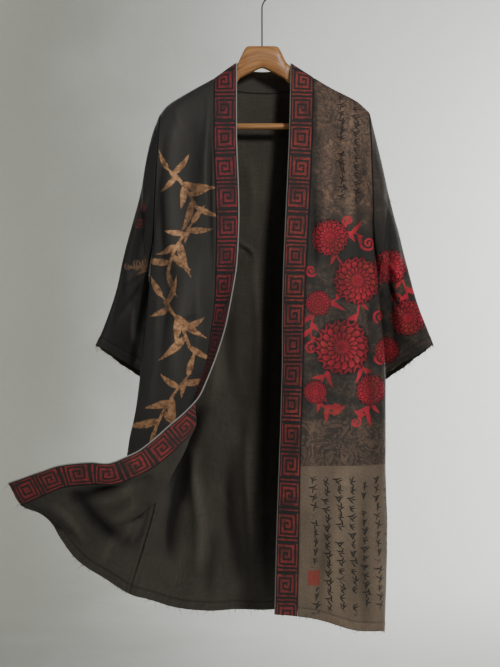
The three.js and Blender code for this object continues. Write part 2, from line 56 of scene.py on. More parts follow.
WOOD_GAP = 2.3  # from the wood up to the cloth's inner face
KEY_UNIT = 60  # length of one unit of the key pattern
KEY_LINE = 8.0  # from one line of the key to the next
KEY_HALF = 19.6  # half the width of a key square
BAND_WIDE = 44
FRONT_ROWS, FRONT_COLUMNS = (54, 362), (109, 17)  # above and below the chest; panel and band
BACK_ROWS, BACK_COLUMNS = (46, 250), (44, 58)  # above and below the chest; each shoulder and the neck
SLEEVE_ROWS, SLEEVE_COLUMNS = 118, 168
NECK_ROWS, NECK_COLUMNS = 140, 18
KNOTS = (-372, -448)  # heights of the two thread knots on the left sleeve's outer fold
BAR_HALF, BAR_LEVEL, BAR_R = 194, -300, 6.25
WIRE_R, CROOK_R, CROOK_LEVEL = 1.75, 19.75, -18.0

# Top line of the shoulders over the hanger. Columns: x, z.
SHOULDER = [
    (-207, -275), (-193, -258), (-148, -230), (-96, -201), (-51, -170), (0, -150),
    (51, -168), (78, -184), (139, -221), (194, -250), (218, -271),
]
# Guide lines of the two fronts. Columns: share of the way down, x, y, z.
RIGHT = {
    "tip": (-207, 0, -275),
    "side": [
        (0.265, -222, 0, -543), (0.4, -232, 0, -677), (0.5, -234, 2, -769), (0.614, -236, 5, -882),
        (0.69, -232, 6, -958), (0.748, -227, 6, -1015), (0.81, -220, 4, -1071), (0.847, -228, 4, -1110),
        (0.9, -242, 3, -1159), (1, -271, 0, -1259),
    ],
    "turn": [
        (0.13, -203, -36, -402), (0.265, -216, -24, -540), (0.4, -229, -28, -675), (0.5, -241, -32, -772),
        (0.57, -251, -32, -859), (0.614, -258, -32, -896), (0.69, -270, -32, -952),
        (0.748, -274, -30, -1001), (0.81, -256, -26, -1069), (0.847, -254, -24, -1106),
        (0.9, -273, -18, -1161), (1, -321, -8, -1226),
    ],
    "middle": [
        (0.13, -165, -36, -386), (0.265, -172, -42, -525), (0.4, -178, -50, -666), (0.5, -184, -56, -768),
        (0.57, -192, -60, -848), (0.614, -196, -62, -882), (0.69, -212, -62, -955),
        (0.748, -228, -58, -1012), (0.81, -240, -46, -1073), (0.847, -264, -42, -1102),
        (0.9, -312, -36, -1140), (1, -380, -20, -1182),
    ],
    "fold": [
        (0.13, -130, -35, -367), (0.265, -131, -43, -511), (0.4, -135, -50, -684), (0.5, -144, -55, -790),
        (0.57, -154, -60, -842), (0.614, -160, -62, -876), (0.65, -154, -64, -916), (0.69, -154, -76, -952),
        (0.748, -182, -76, -1008), (0.777, -199, -72, -1037), (0.81, -226, -66, -1072),
        (0.847, -277, -60, -1095), (0.9, -352, -54, -1112), (1, -439, -36, -1096),
    ],
    "seam": [
        (0.13, -98, -32, -343), (0.265, -93, -40, -493), (0.33, -94, -42, -598), (0.4, -97, -46, -672),
        (0.46, -105, -49, -732), (0.515, -113, -52, -783), (0.57, -128, -54, -827),
        (0.614, -137, -62, -866), (0.65, -134, -76, -908), (0.69, -158, -92, -940),
        (0.748, -206, -102, -982), (0.777, -237, -106, -1000), (0.81, -285, -108, -1021),
        (0.847, -328, -104, -1021), (0.9, -390, -92, -1028), (0.935, -424, -80, -1042),
        (1, -483, -54, -1070),
    ],
    "edge": [
        (0.13, -53, -30, -331), (0.265, -48, -36, -481), (0.33, -52, -52, -581), (0.4, -62, -66, -650),
        (0.46, -74, -76, -710), (0.515, -89, -84, -761), (0.57, -109, -93, -814),
        (0.614, -130, -102, -856), (0.69, -190, -112, -913), (0.748, -237, -118, -952),
        (0.777, -265, -120, -966), (0.81, -300, -120, -979), (0.847, -338, -117, -978),
        (0.9, -398, -106, -985), (0.935, -436, -92, -998), (1, -508, -62, -1025),
    ],
    "on_shoulder": (-207, -196, -165, -132, -98, -53),
}
LEFT = {
    "tip": (218, 0, -271),
    "side": [
        (0.265, 227, 0, -541), (0.4, 239, 0, -674), (0.55, 248, 0, -826), (0.7, 249, 0, -974),
        (0.85, 252, 0, -1144), (1, 246, 0, -1330),
    ],
    "turn": [
        (0.13, 209, -36, -398), (0.265, 221, -25, -538), (0.4, 235, -30, -675), (0.55, 246, -33, -821),
        (0.7, 245, -38, -976), (0.85, 248, -42, -1141), (1, 241, -44, -1324),
    ],
    "middle": [
        (0.13, 172, -36, -386), (0.265, 178, -43, -524), (0.4, 188, -51, -664), (0.55, 196, -58, -815),
        (0.7, 196, -64, -970), (0.85, 198, -68, -1133), (1, 186, -66, -1318),
    ],
    "fold": [
        (0.13, 136, -34, -370), (0.265, 130, -43, -505), (0.4, 124, -56, -650), (0.55, 122, -64, -808),
        (0.7, 120, -70, -966), (0.85, 118, -72, -1130), (1, 116, -68, -1297),
    ],
    "seam": [
        (0.13, 101, -32, -343), (0.265, 94, -40, -490), (0.4, 86, -54, -640), (0.55, 81, -65, -803),
        (0.7, 76, -73, -966), (0.85, 73, -71, -1131), (1, 70, -66, -1290),
    ],
    "edge": [
        (0.13, 56, -30, -330), (0.265, 49, -36, -480), (0.4, 43, -42, -631), (0.55, 41, -50, -796),
        (0.7, 36, -56, -960), (0.85, 30, -60, -1125), (1, 26, -62, -1287),
    ],
    "on_shoulder": (218, 208, 174, 138, 105, 60),
}
# Guide lines down the back, between the two side seams. Columns: share down, x, y, z.
BACK = [
    [(0.13, -203, 36, -402), (0.265, -214, 26, -540), (0.4, -218, 34, -675), (0.614, -215, 42, -880),
     (0.81, -198, 34, -1070), (0.9, -212, 28, -1165), (1, -232, 26, -1276)],
    [(0.13, -150, 37, -394), (0.4, -158, 52, -668), (0.7, -156, 58, -970), (1, -176, 50, -1298)],
    [(0.13, -92, 38, -386), (0.4, -96, 52, -662), (0.7, -106, 52, -965), (1, -108, 54, -1305)],
    [(0.13, -46, 40, -380), (0.4, -48, 58, -660), (0.7, -52, 72, -965), (1, -54, 74, -1306)],
    [(0.13, 0, 40, -380), (0.4, 0, 54, -660), (0.7, -4, 52, -965), (1, 0, 58, -1304)],
    [(0.13, 50, 40, -380), (0.4, 50, 58, -662), (0.7, 48, 72, -968), (1, 52, 74, -1306)],
    [(0.13, 100, 38, -386), (0.4, 104, 52, -664), (0.7, 106, 54, -972), (1, 108, 58, -1312)],
    [(0.13, 158, 37, -394), (0.4, 168, 54, -669), (0.7, 170, 64, -975), (1, 172, 68, -1322)],
    [(0.13, 209, 36, -400), (0.265, 220, 26, -538), (0.4, 230, 34, -675), (0.7, 236, 44, -976),
     (1, 230, 48, -1329)],
]
BACK_TOP = (-207, -192, -150, -98, -56, 2, 62, 105, 160, 205, 218)
NECK_AT = (0, 0.33, 0.5, 0.67, 1)
# The neck band's sewn edge and free edge. Columns: share round, x, y, z.
NECK_SEAM = [
    (0, -98, 0, -202), (0.16, -88, 22, -211), (0.33, -56, 36, -219), (0.5, 2, 43, -223),
    (0.67, 62, 36, -219), (0.84, 94, 22, -209), (1, 105, 0, -200),
]
NECK_FREE = [
    (0, -53, 0, -171), (0.16, -50, 15, -175), (0.33, -34, 29, -179), (0.5, 3, 37, -181),
    (0.67, 41, 29, -178), (0.84, 57, 15, -174), (1, 60, 0, -171),
]
# Sleeves: the outer fold, and the fold under the arm, down to the cuff. Columns: share down, x, y, z.
SLEEVE_RIGHT = {
    "arm": RIGHT,
    "outer": [(0, -208, 0, -275), (0.11, -224, 1, -320), (0.27, -240, 2, -398), (0.37, -251, 3, -449),
              (0.63, -284, 6, -573), (0.75, -297, 8, -634), (0.92, -324, 10, -713), (1, -340, 10, -749)],
    "inner": [(0, -224, 0, -543), (0.15, -229, 16, -585), (0.4, -234, 46, -662), (0.7, -237, 74, -745),
              (1, -240, 94, -815)],
    "cuff_depth": 25,
    "drop": 16,
}
SLEEVE_LEFT = {
    "arm": LEFT,
    "outer": [(0, 219, 0, -271), (0.16, 238, 1, -353), (0.37, 262, 3, -451), (0.54, 281, 5, -528),
              (0.67, 297, 7, -588), (0.84, 319, 9, -665), (0.96, 343, 10, -726), (1, 351, 10, -748)],
    "inner": [(0, 229, 0, -541), (0.15, 235, 16, -583), (0.4, 240, 46, -662), (0.7, 244, 72, -745),
              (1, 240, 90, -824)],
    "cuff_depth": 24,
    "drop": 16,
}
# Creases on the cloth. Columns: x and z of one end, x and z of the other, half width, height
# (above 0 it stands out of the face that is seen from the front, below 0 it is a trough).
CREASES_RIGHT = [
    (-174, -226, -178, -600, 18, 9.5), (-138, -290, -144, -560, 11, -7.0), (-112, -236, -112, -470, 7, 6.0),
    (-104, -280, -102, -640, 5, -5.0), (-198, -320, -208, -640, 10, -7.0), (-156, -580, -176, -850, 16, 7.5),
    (-188, -560, -216, -850, 11, -6.5), (-122, -560, -138, -770, 9, 5.0), (-208, -640, -228, -900, 9, 6.0),
    (-150, -410, -166, -452, 5, 2.4), (-130, -686, -172, -716, 6, -2.4), (-180, -262, -150, -330, 7, 3.0),
]
CREASES_FLAP = [
    (-392, -1050, -214, -1012, 12, -10.5), (-388, -1046, -262, -1162, 16, -12.0),
    (-330, -1064, -232, -1008, 13, 8.0), (-300, -1112, -250, -1044, 11, 6.0),
    (-428, -1060, -352, -1150, 11, 6.0), (-262, -1176, -224, -1060, 8, -6.0),
    (-334, -1194, -286, -1128, 9, 4.5), (-444, -1100, -400, -1124, 8, -3.5),
    (-300, -1170, -268, -1100, 7, 3.0),
]
CREASES_LEFT = [
    (106, -232, 114, -330, 8, 6.0), (104, -330, 100, -620, 7, -5.5), (126, -310, 128, -620, 10, 4.5),
    (150, -270, 146, -480, 9, -3.5), (168, -290, 172, -580, 13, 4.5), (196, -330, 208, -620, 9, -5.0),
    (150, -520, 142, -880, 13, -4.5), (184, -620, 196, -960, 14, 5.0), (222, -600, 230, -1010, 9, -5.0),
    (108, -690, 100, -1100, 10, 4.0), (158, -940, 150, -1300, 17, 5.0), (210, -1020, 204, -1320, 11, -5.5),
    (120, -1100, 116, -1290, 9, -4.0), (132, -250, 160, -296, 5, 3.0), (140, -1010, 178, -1030, 7, 2.4),
    (96, -420, 124, -438, 5, 2.4), (180, -262, 206, -330, 7, 3.0), (226, -1100, 236, -1320, 9, 3.5),
]
CREASES_BACK = [
    (-52, -534, -20, -570, 5, -4.5), (-46, -528, -14, -562, 5, 3.2), (-136, -872, -180, -1080, 17, -21),
    (-162, -975, -190, -1200, 12, -15), (-140, -960, -134, -1230, 14, 12.0),
    (-106, -1140, -104, -1292, 13, -5.0), (-60, -960, -58, -1250, 12, -10.0),
    (-22, -880, -20, -1260, 13, 7.0), (-96, -640, -104, -880, 13, 6.0), (-60, -640, -64, -880, 11, -6.0),
    (-8, -560, -10, -860, 10, 5.0), (20, -440, 16, -1290, 12, -6.0), (-20, -360, -24, -520, 10, 3.0),
    (70, -700, 74, -1250, 12, 6.0), (150, -640, 158, -1260, 14, -9.0), (196, -800, 200, -1280, 12, 6.0),
    (-206, -600, -200, -900, 10, 4.0), (112, -480, 118, -900, 11, -6.0), (-120, -420, -132, -700, 12, -6.0),
    (-64, -330, -80, -560, 10, 3.5), (-100, -1040, -60, -1100, 7, 2.0),
]
CREASES_SLEEVE_RIGHT = [
    (-276, -590, -268, -748, 10, 7.5), (-244, -470, -262, -600, 7, -6.0), (-284, -520, -306, -742, 9, -5.0),
    (-302, -620, -320, -732, 8, -4.5), (-226, -560, -304, -650, 6, 4.0), (-232, -596, -292, -696, 6, -4.0),
    (-228, -440, -258, -500, 6, 3.0),
]
CREASES_SLEEVE_LEFT = [
    (272, -490, 294, -742, 9, 6.0), (254, -440, 270, -770, 7, -6.0), (244, -420, 254, -650, 6, 4.0),
    (308, -620, 328, -732, 8, -4.5), (238, -560, 310, -646, 6, 4.0), (240, -604, 300, -690, 6, -4.0),
    (236, -430, 262, -490, 6, 3.0),
]
# Wooden yoke. Columns: distance from the middle, top, bottom, half thickness.
HEAD = [(0, -135.7, -181, 13), (14, -135.7, -186, 13), (28, -136.2, -193, 13), (34, -139, -196, 12.6),
        (39, -147, -199, 11.6), (46, -162, -203, 10.2)]
# Past the head. Columns: distance from the middle, depth of the arm below the shoulder, half thickness.
ARM = [(52, 38, 8.4), (75, 38, 9), (93, 38, 9), (112, 38, 9), (150, 40, 9), (178, 45, 9),
       (192, 44, 8.8), (200, 38, 7), (203, 26, 4)]


# Lines and rows, worked out as in the solids
def smooth(lo, hi, x):
    t = np.clip((np.asarray(x, float) - lo) / (hi - lo), 0, 1)
    return t * t * (3 - 2 * t)


def unit(a):
    return a / np.maximum(np.linalg.norm(a, axis=-1, keepdims=True), 1e-9)


def hermite(p0, p1, m0, m1, u):
    u2, u3 = u * u, u * u * u
    return (
        p0 * (2 * u3 - 3 * u2 + 1) + m0 * (u3 - 2 * u2 + u) + p1 * (3 * u2 - 2 * u3) + m1 * (u3 - u2)
    )


def through(rows, t):
    """A smooth line through a table's rows, whose first column is the place along it."""
    rows = np.asarray(rows, float)
    t = np.asarray(t, float)
    x, p = rows[:, 0], rows[:, 1:]
    last = len(x) - 1
    before = np.maximum(np.arange(last + 1) - 1, 0)
    after = np.minimum(np.arange(last + 1) + 1, last)
    slope = (p[after] - p[before]) / (x[after] - x[before])[:, None]
    i = np.clip(np.searchsorted(x, t, side="left") - 1, 0, last - 1)
    h = (x[i + 1] - x[i])[..., None]
    u = np.clip((t - x[i])[..., None] / h, 0, 1)
    return hermite(p[i], p[i + 1], slope[i] * h, slope[i + 1] * h, u)


def across(guides, k):
    """Rows through guide points; each row's first and last point lie past its two ends."""
    gap = np.sqrt(np.linalg.norm(np.diff(guides, axis=1), axis=2))
    run = np.concatenate([np.zeros((len(guides), 1)), np.cumsum(gap, axis=1)], axis=1)
    i = np.clip(np.floor(k).astype(int), 0, guides.shape[1] - 4) + 1
    slope = (guides[:, 2:] - guides[:, :-2]) / (run[:, 2:] - run[:, :-2])[..., None]
    h = (run[:, i + 1] - run[:, i])[..., None]
    u = (k - i + 1)[None, :, None]
    return hermite(guides[:, i], guides[:, i + 1], slope[:, i - 1] * h, slope[:, i] * h, u)


def armhole(arm, down, facing):
    share = np.where(down < CHEST, 0.5 * down / CHEST, 0.5 + 0.5 * (down - CHEST) / (UNDERARM - CHEST))
    angle = math.pi * np.clip(share, 0, 1)[:, None]
    tip, under = np.array(arm["tip"], float), np.array(arm["side"][0][1:], float)
    p = (tip + under) / 2 - (under - tip) / 2 * np.cos(angle)
    p[:, 1] = facing * ARMHOLE_DEPTH * np.sin(angle[:, 0])
    return p


def side_seam(arm, down, facing):
    return np.where((down < UNDERARM)[:, None], armhole(arm, down, facing), through(arm["side"], down))


def beyond(end, inner):
    return 2 * end - inner


def hung(top, rows, down):
    """Cloth that lies level on its top line, then bends over and hangs straight at the chest."""
    a = (0.5 * math.pi * np.minimum(down, CHEST) / CHEST)[:, None]
    k, s = 1 - np.cos(a), np.sin(a)
    return np.stack(
        [top[..., c] + (rows[..., c] - top[..., c]) * (s if c == 1 else k) for c in range(3)], axis=-1
    )


def on_shoulder(guides, k):
    x = np.interp(k, np.arange(len(guides)), guides)
    return np.stack([x, np.zeros(len(k)), through(SHOULDER, x)[:, 0]], axis=-1)


def front_points(arm, down, k):
    low = np.maximum(down, CHEST)
    side = side_seam(arm, low, -1)
    inner = [through(arm[name], low) for name in ("turn", "middle", "fold", "seam", "edge")]
    behind = through(BACK[0 if arm is RIGHT else -1], low)
    sewn = smooth(UNDERARM - 0.04, UNDERARM, low)[:, None]
    before = beyond(side, inner[0]) * (1 - sewn) + behind * sewn
    guides = np.stack([before, side, *inner, beyond(inner[4], inner[3])], axis=1)
    return hung(on_shoulder(arm["on_shoulder"], k)[None], across(guides, k), down)


def back_points(down, k):
    low = np.maximum(down, CHEST)
    right, left = side_seam(RIGHT, low, 1), side_seam(LEFT, low, 1)
    inner = [through(guide, low) for guide in BACK]
    sewn = smooth(UNDERARM - 0.04, UNDERARM, low)[:, None]
    before = beyond(right, inner[0]) * (1 - sewn) + through(RIGHT["turn"], low) * sewn
    after = beyond(left, inner[-1]) * (1 - sewn) + through(LEFT["turn"], low) * sewn
    guides = np.stack([before, right, *inner, left, after], axis=1)
    neck = through(NECK_SEAM, np.interp(k - 3, np.arange(5), NECK_AT))
    top = np.where(((k >= 3) & (k < 7))[:, None], neck, on_shoulder(BACK_TOP, k))
    return hung(top[None], across(guides, k), down)


def ring_points(sleeve, down, turn):
    """A sleeve: turn is 0 on the outer fold, a quarter at the front, a half under the arm."""
    angle = 2 * math.pi * turn[None, :, None]
    outer, inner = through(sleeve["outer"], down), through(sleeve["inner"], down)
    ahead, behind = np.minimum(1, down + 0.1), np.maximum(0, down - 0.1)
    middle = lambda at: (through(sleeve["outer"], at) + through(sleeve["inner"], at)) / 2
    half = (inner - outer) / 2
    out = unit(np.cross(half, middle(ahead) - middle(behind)))
    out = np.where(out[:, 1:2] > 0, -out, out)
    level = smooth(0, 0.35, down)[:, None]
    out = unit(np.array([0.0, -1.0, 0.0]) * (1 - level) + out * level)
    depth = ARMHOLE_DEPTH + (sleeve["cuff_depth"] - ARMHOLE_DEPTH) * smooth(0, 0.8, down)
    p = (
        ((outer + inner) / 2)[:, None]
        - half[:, None] * np.cos(angle)
        + (out * depth[:, None])[:, None] * np.sin(angle)
    )
    low = (1 - np.cos(angle[..., 0])) * (1 - np.sin(angle[..., 0])) * 0.25
    p[..., 2] -= sleeve["drop"] * low * (down**2)[:, None]
    p[..., 0] += math.copysign(0.5, sleeve["arm"]["tip"][0]) * (1 - down)[:, None]
    return p


# Cloth on a grid
def normals_of(p, ring=False):
    if ring:
        wide = np.concatenate([p[:, -1:], p, p[:, :1]], axis=1)
        u = wide[:, 2:] - wide[:, :-2]
    else:
        u = np.gradient(p, axis=1)
    return unit(np.cross(u, np.gradient(p, axis=0)))


def lengths(p, axis):
    """How far along a row (axis 1) or column (axis 0) each point lies, in millimetres."""
    step = np.linalg.norm(np.diff(p, axis=axis), axis=2)
    pad = np.zeros((1, p.shape[1])) if axis == 0 else np.zeros((p.shape[0], 1))
    return np.concatenate([pad, np.cumsum(step, axis=axis)], axis=axis)


def creased(p, table, waver=0.7):
    """Height of the creases and of the cloth's own unevenness at each point of a grid."""
    x, z = p[..., 0], p[..., 2]
    lift = waver * np.sin(x / 19 + 1.7 * np.sin(z / 71)) * np.sin(z / 43 + 1.1 * np.sin(x / 37))
    lift += 0.4 * waver * np.sin(x / 9.5 + z / 31) * np.sin(z / 17 - x / 23)
    for x0, z0, x1, z1, half, height in table:
        ax, az = x1 - x0, z1 - z0
        t = np.clip(((x - x0) * ax + (z - z0) * az) / (ax * ax + az * az), 0, 1)
        bend = half * 0.5 * np.sin(5 * t + x0)
        away = math.hypot(ax, az)
        dx, dz = x - x0 - t * ax + bend * az / away, z - z0 - t * az - bend * ax / away
        end = 0.05 + 0.95 * np.clip(4 * t * (1 - t), 0, 1) ** 0.8
        lift += height * end * np.exp(-(dx * dx + dz * dz) / (half * half))
    return lift


def stroke(x, z, rows):
    """Distance to a brush stroke, below 0 inside it. Columns of rows: x, z, half width."""
    best = np.full(x.shape, 1e3)
    for (x0, z0, w0), (x1, z1, w1) in zip(rows[:-1], rows[1:]):
        ax, az = x1 - x0, z1 - z0
        t = np.clip(((x - x0) * ax + (z - z0) * az) / max(ax * ax + az * az, 1e-6), 0, 1)
        best = np.minimum(best, np.hypot(x - x0 - t * ax, z - z0 - t * az) - (w0 + (w1 - w0) * t))
    return best


def scroll(x, z, centre, radius, turns, start, half):
    """A curled tip: a line that winds in to the centre."""
    rows = []
    for t in np.linspace(0, 1, int(12 * abs(turns)) + 6):
        a = math.radians(start + 360 * turns * t)
        r = radius * (1 - 0.86 * t)
        rows.append((centre[0] + r * math.cos(a), centre[1] + r * math.sin(a), half * (1 - 0.5 * t)))
    rows[-1] = (rows[-1][0], rows[-1][1], half * 1.25)
    return stroke(x, z, rows)


# Leaf sprays on the right front. Columns: x and z of the stem's foot, length, angle, first leaf, size.
SPRAYS = [
    (-132, -470, 96, 124, 0, 1.1), (-192, -602, 112, 66, 3, 1.1), (-146, -752, 118, 116, 1, 1.16),
    (-216, -922, 132, 62, 4, 1.2),
]
# Leaves. Columns: share up the stem, angle from the stem, length, half width, bend.
SPRAY_LEAVES = [
    (0.02, -150, 52, 5.6, 30), (0.2, 118, 66, 7.0, -26), (0.34, -104, 46, 6.0, 34),
    (0.52, 150, 44, 6.4, -20), (0.6, -142, 70, 7.4, 24), (0.78, 96, 40, 5.6, -30),
    (0.86, -64, 50, 6.2, 26), (1.0, 4, 44, 5.6, -16), (0.94, -168, 34, 5.0, 18),
]


LEAF_STEPS = 8


def leaf_rows(base, angle, length, half, bend):
    """A brushed leaf: a thin neck, a full belly and a long drawn-out tip."""
    rows, at = [], np.array(base, float)
    for n in range(LEAF_STEPS + 1):
        t = n / LEAF_STEPS
        a = math.radians(angle + bend * (t - 0.3))
        rows.append((*at, half * (0.2 + 0.8 * math.sin(math.pi * min(t * 1.1, 1) ** 0.75)) * (1 - 0.25 * t)))
        at = at + np.array([math.cos(a), math.sin(a)]) * length / LEAF_STEPS
    rows[-1] = (rows[-1][0], rows[-1][1], 0.15)
    return rows


def leaf(x, z, base, angle, length, half, bend=16):
    return stroke(x, z, leaf_rows(base, angle, length, half, bend))


def sprays(x, z):
    """Distance to the leaf sprays and their stems, below 0 inside them."""
    best = np.full(x.shape, 1e3)
    for n, (x0, z0, length, angle, first, size) in enumerate(SPRAYS):
        stem = leaf_rows((x0, z0), angle, length, 3.2, 22 * (-1) ** n)
        stem_rows = [(a, b, 3.2 - 0.2 * i) for i, (a, b, _) in enumerate(stem)]
        best = np.minimum(best, stroke(x, z, stem_rows))
        for m in range(len(SPRAY_LEAVES)):
            share, off, long, half, bend = SPRAY_LEAVES[(m + first) % len(SPRAY_LEAVES)]
            at = share * LEAF_STEPS
            i = min(int(at), LEAF_STEPS - 1)
            base = [stem[i][c] + (stem[i + 1][c] - stem[i][c]) * (at - i) for c in (0, 1)]
            sway = 14 * math.sin(5 * share + 2.3 * n + m)
            best = np.minimum(best, leaf(x, z, base, angle + off + sway, long * size, half * size, bend))
    return best


# Flowers on the left front and sleeve. Columns: x, z, radius.
FLOWERS = [
    (136, -532, 36), (192, -618, 47), (112, -664, 25), (262, -588, 34), (160, -752, 54), (300, -692, 36),
    (106, -842, 23), (218, -838, 31), (256, -760, 28),
]
# Stems between them. Columns: x and z of one end, of the bend, and of the other end.
STEMS = [
    (136, -532, 152, -588, 192, -618), (192, -618, 228, -624, 262, -588), (112, -664, 150, -668, 192, -618),
    (192, -618, 204, -690, 160, -752), (160, -752, 128, -800, 106, -842), (160, -752, 206, -776, 218, -838),
    (262, -588, 306, -620, 300, -692), (136, -532, 170, -512, 204, -528), (112, -664, 92, -706, 100, -742),
    (218, -838, 222, -880, 196, -892), (106, -842, 118, -876, 146, -888), (300, -692, 326, -700, 340, -676),
]
# Curled tendrils. Columns: x, z, radius, turns, start angle, half width.
SCROLLS = [
    (216, -542, 15, 1.5, 200, 2.4), (98, -598, 12, -1.4, 320, 2.2), (98, -754, 12, 1.4, 100, 2.2),
    (240, -690, 14, -1.5, 240, 2.4), (146, -874, 12, 1.4, 240, 2.2), (186, -902, 11, -1.4, 60, 2.0),
    (318, -632, 13, 1.4, 60, 2.2), (240, -776, 12, 1.4, 150, 2.2), (172, -498, 10, -1.4, 200, 2.0),
    (274, -652, 11, 1.4, 20, 2.0),
]


def red_print(x, z):
    """Distance to the stems, tendrils and leaves of the red print, below 0 inside them."""
    best = np.full(x.shape, 1e3)
    for n, (x0, z0, x1, z1, x2, z2) in enumerate(STEMS):
        rows = []
        for t in np.linspace(0, 1, 9):
            a, b, c = (1 - t) ** 2, 2 * t * (1 - t), t * t
            rows.append((a * x0 + b * x1 + c * x2, a * z0 + b * z1 + c * z2, 1.7 - 0.5 * abs(2 * t - 1)))
        best = np.minimum(best, stroke(x, z, rows))
        for m, share in enumerate((2, 4, 5, 7)):
            (ax, az, _), (bx, bz, _) = rows[share], rows[share + 1]
            way = math.degrees(math.atan2(bz - az, bx - ax))
            side = 1 if (m + n) % 2 else -1
            long = 32 + 11 * math.sin(3 * m + n)
            best = np.minimum(best, leaf(x, z, (ax, az), way + side * (40 + 5 * m), long, 5.0, side * 30))
    for cx, cz, radius, turns, start, half in SCROLLS:
        best = np.minimum(best, scroll(x, z, (cx, cz), radius, turns, start, half))
    return np.clip(best, -60, 60)


# A small cloud on the right sleeve: its curls as above, and the leaves under it.
# Columns of the leaves: x, z, angle, length.
CLOUD_CURLS = [
    (-258, -582, 12, 1.5, 200, 2.0), (-238, -578, 9, -1.4, 320, 1.8), (-274, -588, 8, 1.3, 120, 1.6),
]
CLOUD_LEAVES = [(-236, -592, 170, 34), (-232, -596, 186, 30), (-240, -598, 200, 24)]
KEY_SQUARES = [(-246, -466, 9), (-250, -500, 10)]  # on the right sleeve: x, z, half width
MEDALLION = (146, -700, 66)  # on the left front: x, z, radius
RED_SQUARE = (103, -1212, 12.0, 15.0)  # low on the left front: x, z, half width, half height
PALE_TOP = -988  # where the pale lower part of the left front begins
# Columns of leaf sprigs on the left front: first edge, pitch, step down, size.
UPPER_SPRIGS = (146.0, 30.0, 17.0, 1.4)
LOWER_SPRIGS = (91.0, 25.5, 18.0, 1.35)


def cloud(x, z):
    """Distance to the small cloud, below 0 inside it."""
    best = np.full(x.shape, 1e3)
    for cx, cz, radius, turns, start, half in CLOUD_CURLS:
        best = np.minimum(best, scroll(x, z, (cx, cz), radius, turns, start, half))
    for base_x, base_z, angle, long in CLOUD_LEAVES:
        best = np.minimum(best, leaf(x, z, (base_x, base_z), angle, long, 2.4, 30))
    return best


# Materials
def shade(r, g, b):
    """A colour as the eye sees it, 0 to 255, for a shader's socket."""
    line = [c / 255 for c in (r, g, b)]
    return tuple(c / 12.92 if c <= 0.04045 else ((c + 0.055) / 1.055) ** 2.4 for c in line) + (1.0,)


class Value:
    """A number in a material's tree, so that its sums read as sums."""

    def __init__(self, look, socket):
        self.look, self.socket = look, socket

    def __add__(self, o):
        return self.look.maths("ADD", self, o)

    def __sub__(self, o):
        return self.look.maths("SUBTRACT", self, o)

    def __rsub__(self, o):
        return self.look.maths("SUBTRACT", o, self)

    def __mul__(self, o):
        return self.look.maths("MULTIPLY", self, o)

    def __truediv__(self, o):
        return self.look.maths("DIVIDE", self, o)

    def __pow__(self, o):
        return self.look.maths("POWER", self, o)

    def __abs__(self):
        return self.look.maths("ABSOLUTE", self)

    __radd__ = __add__
    __rmul__ = __mul__

    def least(self, o):
        return self.look.maths("MINIMUM", self, o)

    def most(self, o):
        return self.look.maths("MAXIMUM", self, o)

    def floor(self):
        return self.look.maths("FLOOR", self)

    def part(self):
        return self.look.maths("FRACT", self)

    def sine(self):
        return self.look.maths("SINE", self)

    def cosine(self):
        return self.look.maths("COSINE", self)

    def over(self, lo, hi):
        """0 below lo, 1 above hi, a soft step between."""
        made = self.look.node(
            "ShaderNodeMapRange", {"interpolation_type": "SMOOTHSTEP"},
            {"Value": self, "From Min": lo, "From Max": hi},
        )
        return Value(self.look, made.outputs["Result"])

    def under(self, lo, hi):
        return 1.0 - self.over(lo, hi)


